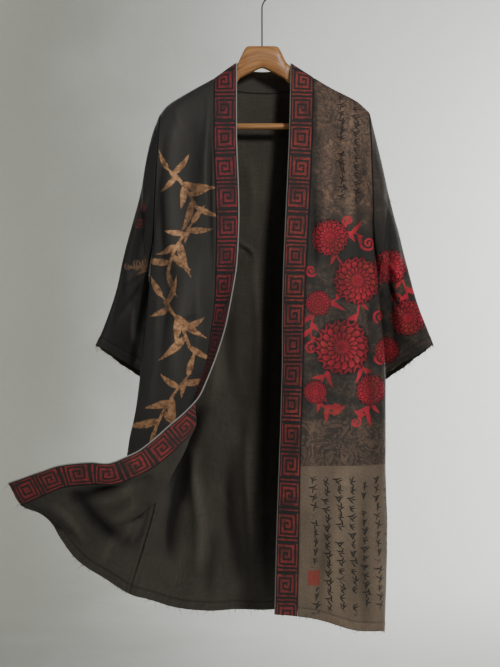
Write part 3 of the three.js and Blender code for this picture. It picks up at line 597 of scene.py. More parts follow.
class Look:
    """A procedural material."""

    def __init__(self, name):
        self.material = bpy.data.materials.new(name)
        self.material.use_nodes = True
        self.tree = self.material.node_tree
        self.tree.nodes.clear()

    def plug(self, socket, value):
        if isinstance(value, Value):
            value = value.socket
        if isinstance(value, bpy.types.NodeSocket):
            self.tree.links.new(value, socket)
        else:
            socket.default_value = value

    def node(self, kind, settings=None, inputs=None):
        made = self.tree.nodes.new(kind)
        for name, value in (settings or {}).items():
            setattr(made, name, value)
        for name, value in (inputs or {}).items():
            self.plug(made.inputs[name], value)
        return made

    def maths(self, operation, *values):
        made = self.node("ShaderNodeMath", {"operation": operation})
        for socket, value in zip(made.inputs, values):
            self.plug(socket, value)
        return Value(self, made.outputs[0])

    def mix(self, share, a, b, how="MIX"):
        made = self.node("ShaderNodeMix", {"data_type": "RGBA", "blend_type": how})
        for at, value in ((0, share), (6, a), (7, b)):
            self.plug(made.inputs[at], value)
        return made.outputs[2]

    def scaled(self, colour, factor):
        """A colour made lighter or darker by a factor."""
        made = self.node("ShaderNodeVectorMath", {"operation": "SCALE"})
        self.plug(made.inputs[0], colour[:3] if isinstance(colour, tuple) else colour)
        self.plug(made.inputs["Scale"], factor)
        return made.outputs[0]

    def vector(self, x, y, z=0.0):
        return self.node("ShaderNodeCombineXYZ", {}, {"X": x, "Y": y, "Z": z}).outputs[0]

    def split(self, vector):
        made = self.node("ShaderNodeSeparateXYZ", {}, {"Vector": vector})
        return [Value(self, s) for s in made.outputs]

    def place(self, uv_map):
        """The two numbers of a map on the cloth, in millimetres."""
        made = self.node("ShaderNodeUVMap", {"uv_map": uv_map})
        return self.split(made.outputs[0])[:2]

    def on_point(self, name):
        made = self.node("ShaderNodeAttribute", {"attribute_type": "GEOMETRY", "attribute_name": name})
        return Value(self, made.outputs["Fac"])

    def noise(self, vector, scale, detail=2.0, roughness=0.5, distortion=0.0):
        made = self.node(
            "ShaderNodeTexNoise", {"noise_dimensions": "3D"},
            {"Vector": vector, "Scale": scale, "Detail": detail, "Roughness": roughness,
             "Distortion": distortion},
        )
        return Value(self, made.outputs["Fac"])

    def chance(self, x, y):
        """Three even random numbers for each whole x and y."""
        made = self.node(
            "ShaderNodeTexWhiteNoise", {"noise_dimensions": "2D"}, {"Vector": self.vector(x, y)}
        )
        return self.split(made.outputs["Color"])

    def finish(self, colour, roughness, height, depth, sheen=0.0, metal=0.0, coat=0.0, specular=0.4):
        bump = self.node("ShaderNodeBump", {}, {"Strength": 1.0, "Distance": depth, "Height": height})
        shader = self.node(
            "ShaderNodeBsdfPrincipled", {},
            {"Base Color": colour, "Roughness": roughness, "Normal": bump.outputs[0], "Metallic": metal,
             "Specular IOR Level": specular, "Sheen Weight": sheen, "Sheen Roughness": 0.5,
             "Coat Weight": coat, "Coat Roughness": 0.25},
        )
        out = self.node("ShaderNodeOutputMaterial")
        self.plug(out.inputs["Surface"], shader.outputs[0])
        return self.material


def weave(look, u, v, open_weave=1.0):
    """Tone of the cloth (about 1), and the height of its threads."""
    slub = look.noise(look.vector(u * 0.035, v * 0.9), 1.0, 3.0, 0.65)
    warp = look.noise(look.vector(u * 0.8, v * 0.03), 1.0, 3.0, 0.65)
    cloud = look.noise(look.vector(u * 0.012, v * 0.009), 1.0, 4.0, 0.6)
    thread = (u * (2 * math.pi / 1.3)).sine() * (v * (2 * math.pi / 1.3)).sine()
    threads = (slub - 0.5) * 0.5 + (warp - 0.5) * 0.42
    tone = 1.0 + threads * open_weave + (cloud - 0.5) * 0.6
    height = thread * 0.35 + slub * 0.8 + warp * 0.6
    return tone, height


def edges(look, colour, v):
    """Sewn hem and worn edge: the hem's stitches, a faint crease above it with painted shade in it, painted
    light and shade of puckers below the stitches, and a paler worn rim.
    """
    hem, rim = look.on_point("hem"), look.on_point("rim")
    stitch = abs(hem - HEM).under(0.4, 1.0) * (v * (1 / 4.2)).part().under(0.55, 0.7)
    fold = abs(hem - HEM).under(1.0, 4.5)
    # painted shade in the hem's crease
    colour = look.scaled(colour, 1.0 - fold * 0.16)
    colour = look.mix(stitch * 0.5, colour, shade(24, 22, 20))
    # painted light and shade of puckers: random lighter and darker patches below the hem's stitches
    pucker_shade = look.noise(look.vector(v * 0.25, hem * 0.03), 1.0, 3.0, 0.6)
    colour = look.scaled(colour, 1.0 + hem.under(HEM - 2, HEM) * (pucker_shade - 0.5) * 0.8)
    worn = rim.under(0.5, 5.0) * look.noise(look.vector(v * 0.08, rim * 0.1), 1.0, 3.0)
    return look.mix(worn * 0.35, colour, shade(104, 96, 86)), stitch, fold


def key(look, u, v):
    """The key border: 1 on its red lines. u runs across the band from its middle, v along it."""
    wobble = look.noise(look.vector(u * 0.05, v * 0.05), 1.0, 2.0) - 0.5
    jitter = look.noise(look.vector(u * 0.35, v * 0.35), 1.0, 2.0) - 0.5
    u, v = u + wobble * 2.6 + jitter * 1.5, v + wobble * 3.0 - jitter * 1.5
    number = (v * (1 / KEY_UNIT)).floor()
    a, b, c = look.chance(number, 3.0)
    x = u * (a.over(0.499, 0.501) * 2 - 1)
    along = ((v * (1 / KEY_UNIT)).part() - 0.5) * KEY_UNIT
    y = along * (b.over(0.499, 0.501) * 2 - 1) * (1 / 1.18)
    # half squares about two centres, one line apart, join into a square spiral
    lower = y.under(-0.05, 0.05)
    shift = KEY_LINE / 2
    plain = c.over(0.7, 0.71)
    spiral = abs(x - lower * shift).most(abs(y)) - lower * shift
    ring = abs(x).most(abs(y))
    d = spiral * (1 - plain) + ring * plain + 0.55 * KEY_LINE - KEY_HALF % KEY_LINE
    wave = abs((d * (1 / KEY_LINE)).part() - 0.5)
    line = wave.under(0.2, 0.34)
    inside = ring.under(KEY_HALF - 0.4, KEY_HALF + 0.8)
    bar = (KEY_UNIT / 2 - abs(along)).under(1.1, 2.2) * abs(u).under(18.5, 20)
    mark = (line * inside).most(bar)
    worn = look.noise(look.vector(u * 0.22, v * 0.35), 1.0, 4.0, 0.65).over(0.32, 0.56)
    fade_and_crease_shade = look.noise(look.vector(u * 0.05, v * 0.03, 4.0), 1.0, 2.0).over(0.34, 0.56)
    return mark * (0.3 + 0.7 * worn) * (0.4 + 0.6 * fade_and_crease_shade)


def engraved(look, x, z, scale, count):
    """Wandering engraved lines, as on old printed paper: 1 on a line."""
    field = look.noise(look.vector(x * scale, z * scale), 1.0, 3.0, 0.5, 1.2)
    return abs((field * count).part() - 0.5).under(0.12, 0.28)


def blooms(look, x, z):
    """Many-petalled flowers: 1 inside one, 1 on its dark lines, how light a petal is there, and the
    distance from its centre as a share of its radius."""
    best = across_x = across_z = None
    for n, (cx, cz, radius) in enumerate(FLOWERS):
        c, s = math.cos(0.9 * n) / radius, math.sin(0.9 * n) / radius
        dx, dz = (x - cx) * c + (z - cz) * s, (z - cz) * c - (x - cx) * s
        away = (dx * dx + dz * dz) ** 0.5
        if best is None:
            best, across_x, across_z = away, dx, dz
            continue
        nearer = (away - best).under(-0.002, 0.002)
        across_x = across_x + (dx - across_x) * nearer
        across_z = across_z + (dz - across_z) * nearer
        best = best.least(away)
    turn = look.maths("ARCTAN2", across_z, across_x) + best * 0.35
    uneven = look.noise(look.vector(x * 0.05, z * 0.05), 1.0, 2.0) - 0.5
    petals = (turn * 17.0 + uneven * 1.4).cosine()
    level = (best + uneven * 0.12) * 3.7
    parity = (level.floor() * math.pi).cosine()
    rim = (level + 0.24 * petals * (level * math.pi).cosine()) * math.pi
    share = (rim * (1 / math.pi)).part()
    middle = petals * parity
    lines = abs(rim.sine()).under(0.1, 0.34).most(middle.under(-0.98, -0.72) * level.over(0.9, 1.0))
    lines = lines.most(middle.over(0.955, 0.995) * share.under(0.5, 0.8) * level.over(1.0, 1.2) * 0.7)
    light = (0.35 + 0.75 * share) * (0.8 + 0.25 * middle)
    inside = (best + uneven * 0.14 - 0.07 * petals).under(0.96, 1.0)
    return inside, lines * level.over(0.3, 0.5), light, best


def sprigs(look, x, z, start, pitch, step, size):
    """Columns of small dark leaf sprigs, four leaves to a mark: 1 on a leaf."""
    column = ((x - start) * (1 / pitch)).floor()
    slide, lean, _ = look.chance(column, 11.0)
    row = (z * (1 / step) + slide * 5).floor()
    a, b, c = look.chance(column, row)
    cx = ((x - start) * (1 / pitch)).part() * pitch - pitch / 2 - (a - 0.5) * 4
    cz = (z * (1 / step) + slide * 5).part() * step - step / 2
    best = None
    leaves = ((0.9, 1.2, 3.6), (2.5, -1.8, 1.8), (0.3, 1.6, -0.9), (1.8, -1.0, -3.6))
    for pick, (turn, ox, oz) in zip((a, b, c, lean), leaves):
        angle = turn + (pick - 0.5) * 1.7
        cos, sin = angle.cosine(), angle.sine()
        reach = 3.2 + pick * 3.4
        px, pz = cx * (1 / size) - ox * (0.5 + b), cz * (1 / size) - oz * (0.6 + a * 0.6)
        along = px * cos + pz * sin
        off = abs(pz * cos - px * sin + along * along * 0.03)
        d = off - (1.0 - (along / reach) * (along / reach)) * (0.55 + pick * 0.5)
        best = d if best is None else best.least(d)
    return best.under(-0.3, 0.5) * c.over(0.05, 0.07)


def fade_and_crease_shade(fold):
    """How light the cloth is painted: a painted highlight along the ridges of its folds, painted shade down
    in the troughs.
    """
    return (1.0 + fold * 0.075).most(0.25).least(1.6)


OUTER = shade(47, 45, 41)
INNER = shade(68, 64, 57)


def worn_patches(look, x, z):
    """Old engraved print: its share of the ground, uneven, and 1 on its fine dark lines."""
    ground = look.noise(look.vector(x * 0.03, z * 0.03), 1.0, 4.0, 0.6)
    coarse, fine = engraved(look, x, z, 0.03, 7.0), engraved(look, x + 300, z, 0.07, 5.0)
    lines = (coarse * 0.9).most(fine * ground.over(0.4, 0.56) * 0.8)
    return ground, lines


def leaf_print(look, colour, x, z, grain, tone, light):
    """Tan brushed leaves, dry in places and streaked by the brush."""
    d = look.on_point("leaf") + (grain - 0.5) * 3.6
    dry = look.noise(look.vector(x * 0.09, z * 0.09), 1.0, 4.0, 0.7)
    streak = look.noise(look.vector((x + z) * 0.5, (x - z) * 0.05), 1.0, 3.0, 0.6)
    ink = d.under(-0.4, 0.8) * (0.62 + 0.38 * dry.over(0.36, 0.52)) * (0.8 + 0.2 * streak.over(0.4, 0.5))
    tan = look.mix(dry.over(0.35, 0.68), shade(128, 90, 60), shade(180, 136, 98))
    return look.mix(ink, colour, look.scaled(tan, tone * light))


def sleeve_marks(look, colour, x, z, grain, tone):
    """Painted shade over the whole right sleeve, then a faint cloud and two small key squares on its front.
    """
    front = look.on_point("front")
    ink = (look.on_point("leaf") + (grain - 0.5) * 2.0).under(-0.5, 0.6) * front
    # the whole sleeve painted darker (0.54) as painted shade, for its faces turned away from the key lamp
    colour = look.mix(ink * 0.6, look.scaled(colour, 0.54), look.scaled(shade(136, 100, 72), tone))
    for cx, cz, half in KEY_SQUARES:
        reach = abs(x - cx).most(abs(z - cz))
        ring = abs((reach * (1 / 5)).part() - 0.5).under(0.2, 0.3)
        on = reach.under(half - 0.5, half + 0.5) * ring * grain.over(0.3, 0.5) * front
        colour = look.mix(on * 0.6, colour, shade(120, 34, 40))
    return colour


def old_ground(look, colour, x, z, grain, tone, light, on_sleeve):
    """Worn brown print on the left side: engraved lines, a ringed medallion and columns of sprigs.
    Also how its edges fray, and the unevenness they come from."""
    front = look.on_point("front")
    ground, lines = worn_patches(look, x, z)
    fray = (ground - 0.5) * 70
    upper = (z + fray * 1.3).over(-540, -440) * (x + fray * 0.4).over(96, 128)
    if on_sleeve:
        upper = upper * 0.2
    middle = (z + fray).over(-905, -870) * (z + fray).under(-600, -560)
    cx, cz, radius = MEDALLION
    away = ((x - cx) * (x - cx) + (z - cz) * (z - cz)) ** 0.5 + fray * 0.15
    spokes = abs(((away * (1 / 11)).part() - 0.5)).over(0.34, 0.44)
    low = (z + fray * 0.35).under(-905, -885) * z.over(PALE_TOP - 2, PALE_TOP)
    share = upper * (0.45 + 0.55 * ground) * (1 - 0.72 * lines)
    share = share.most(middle * 0.42 * ground.over(0.4, 0.62) * (1 - 0.8 * lines))
    share = share.most(away.under(radius - 4, radius) * (0.3 - 0.24 * spokes) * (1 - 0.6 * lines))
    share = share.most(low * (0.7 - 0.6 * lines) * (0.6 + 0.5 * ground))
    brown = look.mix(grain, shade(130, 102, 84), shade(104, 84, 72))
    colour = look.mix(share * front, colour, look.scaled(brown, tone * light))
    pale = engraved(look, x + 77, z + 40, 0.035, 4.0) * upper * ground.over(0.44, 0.6)
    colour = look.mix(pale * 0.4 * front, colour, look.scaled(shade(150, 118, 92), tone))
    marks = sprigs(look, x, z, *UPPER_SPRIGS) * x.over(147, 148) * x.under(205, 206)
    marks = marks * (z + fray).over(-470, -450) * 0.92 * front
    return look.mix(marks, colour, shade(15, 13, 12)), fray, ground


def flower_print(look, colour, x, z, grain, shading, ground):
    """Red flowers with dark lines round their petals, over stems, leaves and tendrils."""
    front = look.on_point("front")
    inside, petals, light, reach = blooms(look, x + (grain - 0.5) * 1.6, z)
    vines = (look.on_point("red") + (grain - 0.5) * 2.0).under(-0.4, 0.7)
    shadow = (reach.under(1.0, 1.1) - inside).most(0.0)
    patches = look.noise(look.vector(x * 0.03, z * 0.03), 1.0, 3.0).over(0.36, 0.64)
    crimson = look.mix(patches, shade(200, 38, 60), shade(158, 32, 50))
    ember = look.mix(ground.over(0.5, 0.66) * 0.5, crimson, shade(206, 70, 58))
    colour = look.mix(vines * front * (0.75 + 0.25 * grain), colour, look.scaled(ember, shading * 0.9))
    colour = look.mix(shadow * front * 0.85, colour, shade(22, 18, 17))
    colour = look.mix(inside * front * (0.9 + 0.1 * grain), colour, look.scaled(ember, shading * light))
    return look.mix(inside * petals * front * 0.85, colour, shade(44, 18, 22))


def pale_panel(look, colour, x, z, grain, tone, light, fray):
    """The pale lower part of the left front, with its columns of sprigs and its red square."""
    pale = look.mix(grain.over(0.3, 0.7), shade(112, 97, 81), shade(126, 110, 92))
    stain = look.noise(look.vector(x * 0.014, z * 0.01), 1.0, 3.0, 0.6)
    pale = look.scaled(pale, (0.55 + 0.55 * stain) * light)
    colour = look.mix(z.under(PALE_TOP - 1.5, PALE_TOP), colour, look.scaled(pale, tone))
    columns = sprigs(look, x + (z + 1100) * 0.03, z, *LOWER_SPRIGS)
    inside = z.under(-1012, -1008) * (z + fray * 1.2).over(-1290, -1276)
    cx, cz, half_x, half_z = RED_SQUARE
    dx, dz = abs(x - cx), abs(z - cz)
    inside = inside * x.over(91, 93) * (dx - (half_x + 3)).most(dz - (half_z + 5)).over(-0.5, 0.5)
    colour = look.mix(columns * inside * 0.95, colour, shade(20, 17, 15))
    depth = (dx - half_x).most(dz - half_z)
    rings = abs((depth * (1 / 5.0)).part() - 0.5).over(0.12, 0.2)
    on = depth.under(-0.5, 0.5) * (0.35 + 0.55 * rings) * grain.over(0.25, 0.45)
    return look.mix(on, colour, shade(146, 40, 36))


def outer_look(name, kind):
    """The robe's outer face: plain, or with the print of one front or sleeve."""
    look = Look(name)
    u, v = look.place("cloth")
    x, z = look.place("print")
    tone, height = weave(look, u, v)
    grain = look.noise(look.vector(x * 0.25, z * 0.25), 1.0, 3.0, 0.6)
    # painted crease light and shade, from the height of the folds at each point
    light = fade_and_crease_shade(0.0 - look.on_point("fold"))
    colour = look.scaled(look.scaled(OUTER, tone), light)
    if kind == "right":
        colour = leaf_print(look, colour, x, z, grain, tone, light)
    if kind == "sleeve_right":
        colour = sleeve_marks(look, colour, x, z, grain, tone)
    if kind in ("left", "sleeve_left"):
        colour = look.scaled(colour, 0.78)
        colour, fray, ground = old_ground(look, colour, x, z, grain, tone, light, kind == "sleeve_left")
        colour = flower_print(look, colour, x, z, grain, tone * light, ground)
    if kind == "left":
        colour = pale_panel(look, colour, x, z, grain, tone, light, fray)
    side = look.on_point("side")
    colour = look.scaled(colour, 1.0 - side.under(0.6, 2.6) * 0.35)
    colour, stitch, crease = edges(look, colour, u + v)
    return look.finish(colour, 0.5 + 0.14 * grain, height - crease * 1.2 - stitch * 0.8, 0.00035, sheen=0.03,
                       specular=0.36)


def inner_look(name):
    look = Look(name)
    u, v = look.place("cloth")
    tone, height = weave(look, u, v, 2.4)
    # painted crease light and shade, from the height of the folds at each point
    colour = look.scaled(INNER, tone * fade_and_crease_shade(look.on_point("fold")))
    side = look.on_point("side")
    uneven = look.noise(look.vector(v * 0.12, side * 0.02), 1.0, 3.0, 0.7)
    seam = side.under(0.8, 1.8 + uneven * 2.2) * (0.25 + 0.75 * uneven.over(0.4, 0.55))
    seam = seam * look.on_point("hem").over(20, 90)
    # painted shade along the edge of the seam allowance inside
    allowance_edge_shade = abs(side - 11.0).under(0.6, 2.0)
    colour = look.scaled(colour, 1.0 - seam * (0.5 + 0.35 * uneven.over(0.4, 0.5)))
    colour = look.scaled(colour, 1.0 - allowance_edge_shade * 0.16)
    colour, stitch, crease = edges(look, colour, u + v)
    return look.finish(colour, 0.8, height - crease * 1.2 - stitch * 0.8 - seam * 1.5, 0.00045, sheen=0.06,
                       specular=0.25)


def band_look(name, red_a, red_b, ground, strength):
    look = Look(name)
    u, v = look.place("cloth")
    tone, height = weave(look, u, v)
    mark = key(look, u, v)
    colour = look.scaled(ground, tone)
    red = look.mix(look.noise(look.vector(u * 0.03, v * 0.012), 1.0, 2.0).over(0.35, 0.65), red_a, red_b)
    colour = look.mix(mark * strength, colour, look.scaled(red, tone))
    rim = look.on_point("rim")
    # painted shade along both edges of the band, in its seam and beside its cord
    colour = look.mix(rim.under(1.0, 2.6) * 0.6, colour, shade(20, 18, 17))
    return look.finish(colour, 0.62, height + mark * 0.9, 0.00035, sheen=0.06, specular=0.4)


def piping_look(name, colour_a):
    look = Look(name)
    u, v = look.place("cloth")
    rib = ((u * 0.5 + v) * (2 * math.pi / 2.2)).sine()
    dirt = look.noise(look.vector(u * 0.1, v * 0.03), 1.0, 3.0, 0.6)
    # rib * 0.06 is painted light and shade on the cord's twisted ribs; dirt is the cord's own uneven grime
    colour = look.scaled(colour_a, 0.75 + 0.4 * dirt + rib * 0.06)
    return look.finish(colour, 0.6, rib, 0.0003, sheen=0.2)


def wood_look(name, lengthwise):
    """Oiled beech: grain along the piece."""
    look = Look(name)
    place = look.node("ShaderNodeTexCoord").outputs["Object"]
    x, y, z = look.split(place)
    slope = 0.0 if lengthwise else 0.5
    level = z + ((x * x + 0.0004) ** 0.5) * slope
    wander = look.noise(look.vector(x * 9, y * 20, level * 40), 1.0, 3.0)
    grain = look.noise(look.vector(x * 9, y * 200, level * 240 + wander * 3), 1.0, 4.0, 0.6)
    rings = (level * 300 + y * 160 + wander * 16).sine()
    flecks = look.noise(look.vector(x * 60, y * 900, level * 900), 1.0, 2.0).over(0.6, 0.72)
    colour = look.mix(grain.over(0.3, 0.72), shade(186, 136, 86), shade(144, 96, 56))
    colour = look.mix(rings.over(0.2, 1.0) * 0.22, colour, shade(122, 78, 44))
    colour = look.mix(flecks * 0.35, colour, shade(96, 60, 34))
    return look.finish(colour, 0.4 + 0.14 * grain, grain + rings * 0.2, 0.0002, coat=0.15, specular=0.4)


def wire_look(name):
    look = Look(name)
    place = look.node("ShaderNodeTexCoord").outputs["Object"]
    scratch = look.noise(place, 900.0, 3.0, 0.6)
    colour = look.mix(scratch, shade(84, 84, 86), shade(56, 56, 58))
    return look.finish(colour, 0.28 + 0.2 * scratch, scratch, 0.00005, metal=1.0)


# Mesh pieces
def in_scene(name, data):
    made = bpy.data.objects.new(name, data)
    bpy.context.scene.collection.objects.link(made)
    return made


def piece_of(name, points, faces, materials, node, soft=True):
    """A piece that stands for one solid, from points in millimetres."""
    mesh = bpy.data.meshes.new(name)
    mesh.from_pydata((np.asarray(points) * 0.001).tolist(), [], faces)
    for material in materials:
        mesh.materials.append(material)
    mesh.polygons.foreach_set("use_smooth", np.full(len(faces), soft))
    piece = in_scene(name, mesh)
    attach(piece, "root")
    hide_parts(node)
    return piece


def quads(*corners):
    return np.stack([np.stack(np.broadcast_arrays(*c), -1) for c in corners], axis=1)


def shell(node, mid, normal, maps, materials, outer=1, ring=False, values=None, thick=CLOTH):
    """A cloth piece: the two faces of a wall on a grid of points, closed round its rim."""
    rows, cols = mid.shape[:2]
    points = np.concatenate([(mid + normal * s * thick / 2).reshape(-1, 3) for s in (1, -1)])
    wide = cols if ring else cols - 1
    i, j = (a.ravel() for a in np.meshgrid(np.arange(rows - 1), np.arange(wide), indexing="ij"))
    e, s, end = np.arange(wide), np.arange(rows - 1), rows - 1
    parts = [
        quads((0, i, j), (0, i, j + 1), (0, i + 1, j + 1), (0, i + 1, j)),
        quads((1, i, j), (1, i + 1, j), (1, i + 1, j + 1), (1, i, j + 1)),
        quads((0, 0, e), (1, 0, e), (1, 0, e + 1), (0, 0, e + 1)),
        quads((0, end, e + 1), (1, end, e + 1), (1, end, e), (0, end, e)),
    ]
    if not ring:
        parts.append(quads((0, s + 1, 0), (1, s + 1, 0), (1, s, 0), (0, s, 0)))
        parts.append(quads((0, s, cols - 1), (1, s, cols - 1), (1, s + 1, cols - 1), (0, s + 1, cols - 1)))
    corner = np.concatenate(parts)
    faces = (corner[..., 0] * rows + corner[..., 1]) * cols + corner[..., 2] % cols
    piece = piece_of(f"{node}_cloth", points, faces.tolist(), materials, node)
    mesh, count = piece.data, len(parts[0])
    soft, face_side = np.zeros(len(faces), bool), np.zeros(len(faces), int)
    soft[: 2 * count] = True
    face_side[:count], face_side[count : 2 * count] = (0, 1) if outer > 0 else (1, 0)
    mesh.polygons.foreach_set("use_smooth", soft)
    mesh.polygons.foreach_set("material_index", face_side)
    for label, grid in maps.items():
        uv = grid[corner[..., 1], corner[..., 2]]
        mesh.uv_layers.new(name=label).data.foreach_set("uv", uv.astype(np.float32).ravel())
    for label, grid in (values or {}).items():
        both = np.concatenate([grid.ravel(), grid.ravel()]).astype(np.float32)
        mesh.attributes.new(label, "FLOAT", "POINT").data.foreach_set("value", both)
    return piece


def ring_faces(n, sides, turned=False):
    """Faces of n closed rings in a row, with a point past each end: the sides, then the two ends."""
    i, j = (a.ravel() for a in np.meshgrid(np.arange(n - 1), np.arange(sides), indexing="ij"))
    k, nxt = np.arange(sides), (j + 1) % sides
    body = np.stack([i * sides + j, i * sides + nxt, (i + 1) * sides + nxt, (i + 1) * sides + j], axis=1)
    last = (n - 1) * sides
    first_end = np.stack([np.full(sides, n * sides), (k + 1) % sides, k], axis=1)
    last_end = np.stack([np.full(sides, n * sides + 1), last + k, last + (k + 1) % sides], axis=1)
    if turned:
        body, first_end, last_end = body[:, [0, 3, 2, 1]], first_end[:, ::-1], last_end[:, ::-1]
    return i, j, body.tolist() + first_end.tolist() + last_end.tolist()


def tube(node, kind, centre, u, v, radius, sides, material):
    """A round cord or bar along a line of points, with closed round ends."""
    angle = 2 * math.pi * (np.arange(sides) + 0.5) / sides
    ring = np.cos(angle)[None, :, None] * u[:, None] + np.sin(angle)[None, :, None] * v[:, None]
    points = (centre[:, None] + ring * radius).reshape(-1, 3)
    points = np.concatenate([points, centre[:1], centre[-1:]])
    turned = np.dot(np.cross(u[0], v[0]), centre[1] - centre[0]) < 0
    i, j, faces = ring_faces(len(centre), sides, turned)
    piece = piece_of(f"{node}_{kind}", points, faces, [material], node)
    along = np.concatenate([[0], np.cumsum(np.linalg.norm(np.diff(centre, axis=0), axis=1))])
    step = 2 * math.pi * radius / sides
    corners = ((0, 0), (0, 1), (1, 1), (1, 0)) if turned else ((0, 0), (1, 0), (1, 1), (0, 1))
    uv = np.stack([np.stack([(j + a) * step, along[i + b]], -1) for a, b in corners], axis=1)
    uv = np.concatenate([uv.reshape(-1, 2), np.zeros((6 * sides, 2))])
    piece.data.uv_layers.new(name="cloth").data.foreach_set("uv", uv.astype(np.float32).ravel())
    return piece


INSIDE = inner_look("inside_cloth")
PLAIN = outer_look("dark_cloth", "plain")


def shares(*stretches):
    """Even steps over each stretch, joined: each stretch is its start, its end and its count."""
    return np.unique(np.concatenate([np.linspace(*stretch) for stretch in stretches]))


def front(side, arm, outer, panel_look, band_out, band_in, creases, flap):
    """One front: its panel, the band along its edge, the cord on the band, and its lower rim."""
    down = shares((0, CHEST, FRONT_ROWS[0]), (CHEST, 1, FRONT_ROWS[1]))
    k = shares((0, 4, FRONT_COLUMNS[0]), (4, 5, FRONT_COLUMNS[1]))
    base = front_points(arm, down, k)
    normal = normals_of(base)
    run, drop = lengths(base, 1), lengths(base, 0)
    seam = int(np.searchsorted(k, 4.0))
    u = run - run[:, seam : seam + 1]
    hem = drop[-1:] - drop
    lift = creased(base, creases)
    if flap:
        lift -= creased(base, flap, 0.0) * smooth(2.4, 3.0, k)[None] * smooth(0.6, 0.7, down)[:, None]
        low = smooth(0.5, 0.62, down)[:, None]
        lift = lift * (1 - low) - creased(base, flap, 0.5) * low
    # the doubled band keeps its seam straighter
    hold = smooth(0, 16, run) * smooth(0.0, 0.1, down)[:, None] * (0.35 + 0.65 * smooth(1, 13, np.abs(u)))
    lift = lift * hold + 0.7 * smooth(HEM + 2, HEM - 2, hem) * smooth(0, 8, run)
    groove = np.exp(-((u / 2.2) ** 2)) * 1.1
    p = base + normal * (lift * outer - groove * outer)[..., None]
    p[:8, :, 1] -= (RIDGE_GAP / 2 * (1 - smooth(0, 7, np.arange(8))))[:, None]
    normal = normals_of(p)
    # the print lies as seen from the front, and round the side it runs on along the cloth
    print_x, turn = base[..., 0].copy(), int(np.searchsorted(k, 1.0))
    print_x[:, :turn] = print_x[:, [turn]] + outer * (run[:, [turn]] - run[:, :turn])
    panel = slice(0, seam + 1)
    inside = p[:, panel].copy()
    inside[:, -1] += unit(inside[:, -2] - inside[:, -1]) * SEAM_GAP / 2
    inside[:, 0] += unit(inside[:, 1] - inside[:, 0]) * SEAM_GAP / 2
    x, z = print_x[:, panel], base[:, panel, 2]
    values = {"hem": hem[:, panel], "rim": np.minimum(hem, FAR)[:, panel],
              "side": np.minimum(run[:, panel], FAR), "fold": -lift[:, panel]}
    if side == "right":
        values["leaf"] = np.clip(sprays(x, z), -30, 60)
    else:
        values["red"] = red_print(x, z)
        values["front"] = np.ones(x.shape)
    maps = {"cloth": np.stack([u, drop], -1)[:, panel], "print": np.stack([x, z], -1)}
    made = shell(f"front_{side}", inside, normal[:, panel], maps, [panel_look, INSIDE], outer, values=values)
    strips = [grid[:, seam:] for grid in (p, normal, u, drop, hem)]
    return made, *front_band(side, *strips, outer, band_out, band_in), rim_of(p)


def front_band(side, p, normal, u, drop, hem, outer, band_out, band_in):
    """The doubled strip along a front's edge, and the cord that its free edge lies just inside."""
    strip = p.copy()
    strip[:, 0] += unit(strip[:, 1] - strip[:, 0]) * SEAM_GAP / 2
    edge_in = unit(strip[:, -2] - strip[:, -1])
    strip[:, -1] += edge_in * 0.4
    wide, middle = u[:, -1:] - u[:, :1], p.shape[1] // 2
    key_u = (u / np.maximum(wide, 1) - 0.5) * BAND_WIDE
    centre_line = p[:, middle]
    way = unit(np.gradient(centre_line, axis=0))
    key_v = drop[:, [middle]] + np.sum((p - centre_line[:, None]) * way[:, None], axis=2)
    piece = shell(
        f"band_{side}", strip, normal, {"cloth": np.stack([key_u, key_v], -1)}, [band_out, band_in], outer,
        values={"rim": np.minimum(u, wide - u), "hem": hem}, thick=CLOTH + BAND_EXTRA,
    )
    n = normal[:, -1]
    v = unit(n + edge_in * np.sum(n * -edge_in, axis=1, keepdims=True))
    cord = tube(f"piping_{side}", "cord", p[:, -1] - edge_in * PIPING_D * 0.3, -edge_in, v, PIPING_D / 2, 12,
                PIPING[side])
    return piece, cord


def rim_of(p):
    """The lower rim of a grid of points, and the way out past it, for loose threads."""
    return p[-1], unit(p[-1] - p[-3])


RED_RIGHT = (shade(160, 42, 56), shade(112, 36, 42))
RED_LEFT = (shade(164, 58, 54), shade(128, 44, 47))
PIPING = {
    "right": piping_look("pale_piping", shade(160, 159, 152)),
    "left": piping_look("grey_piping", shade(112, 108, 101)),
}
BAND_R = band_look("key_band_right", *RED_RIGHT, shade(30, 27, 26), 0.84)
BAND_L = band_look("key_band_left", *RED_LEFT, shade(35, 31, 28), 0.84)
BAND_IN = band_look("key_band_inside", shade(170, 52, 56), shade(140, 46, 48), shade(44, 40, 37), 0.9)
BAND_NECK = band_look("key_band_neck", shade(80, 50, 44), shade(64, 44, 40), shade(58, 54, 49), 0.35)

right = front("right", RIGHT, -1, outer_look("leaf_print_cloth", "right"), BAND_R, BAND_IN,
              CREASES_RIGHT, CREASES_FLAP)
left = front("left", LEFT, 1, outer_look("wave_print_cloth", "left"), BAND_L, BAND_IN, CREASES_LEFT, None)


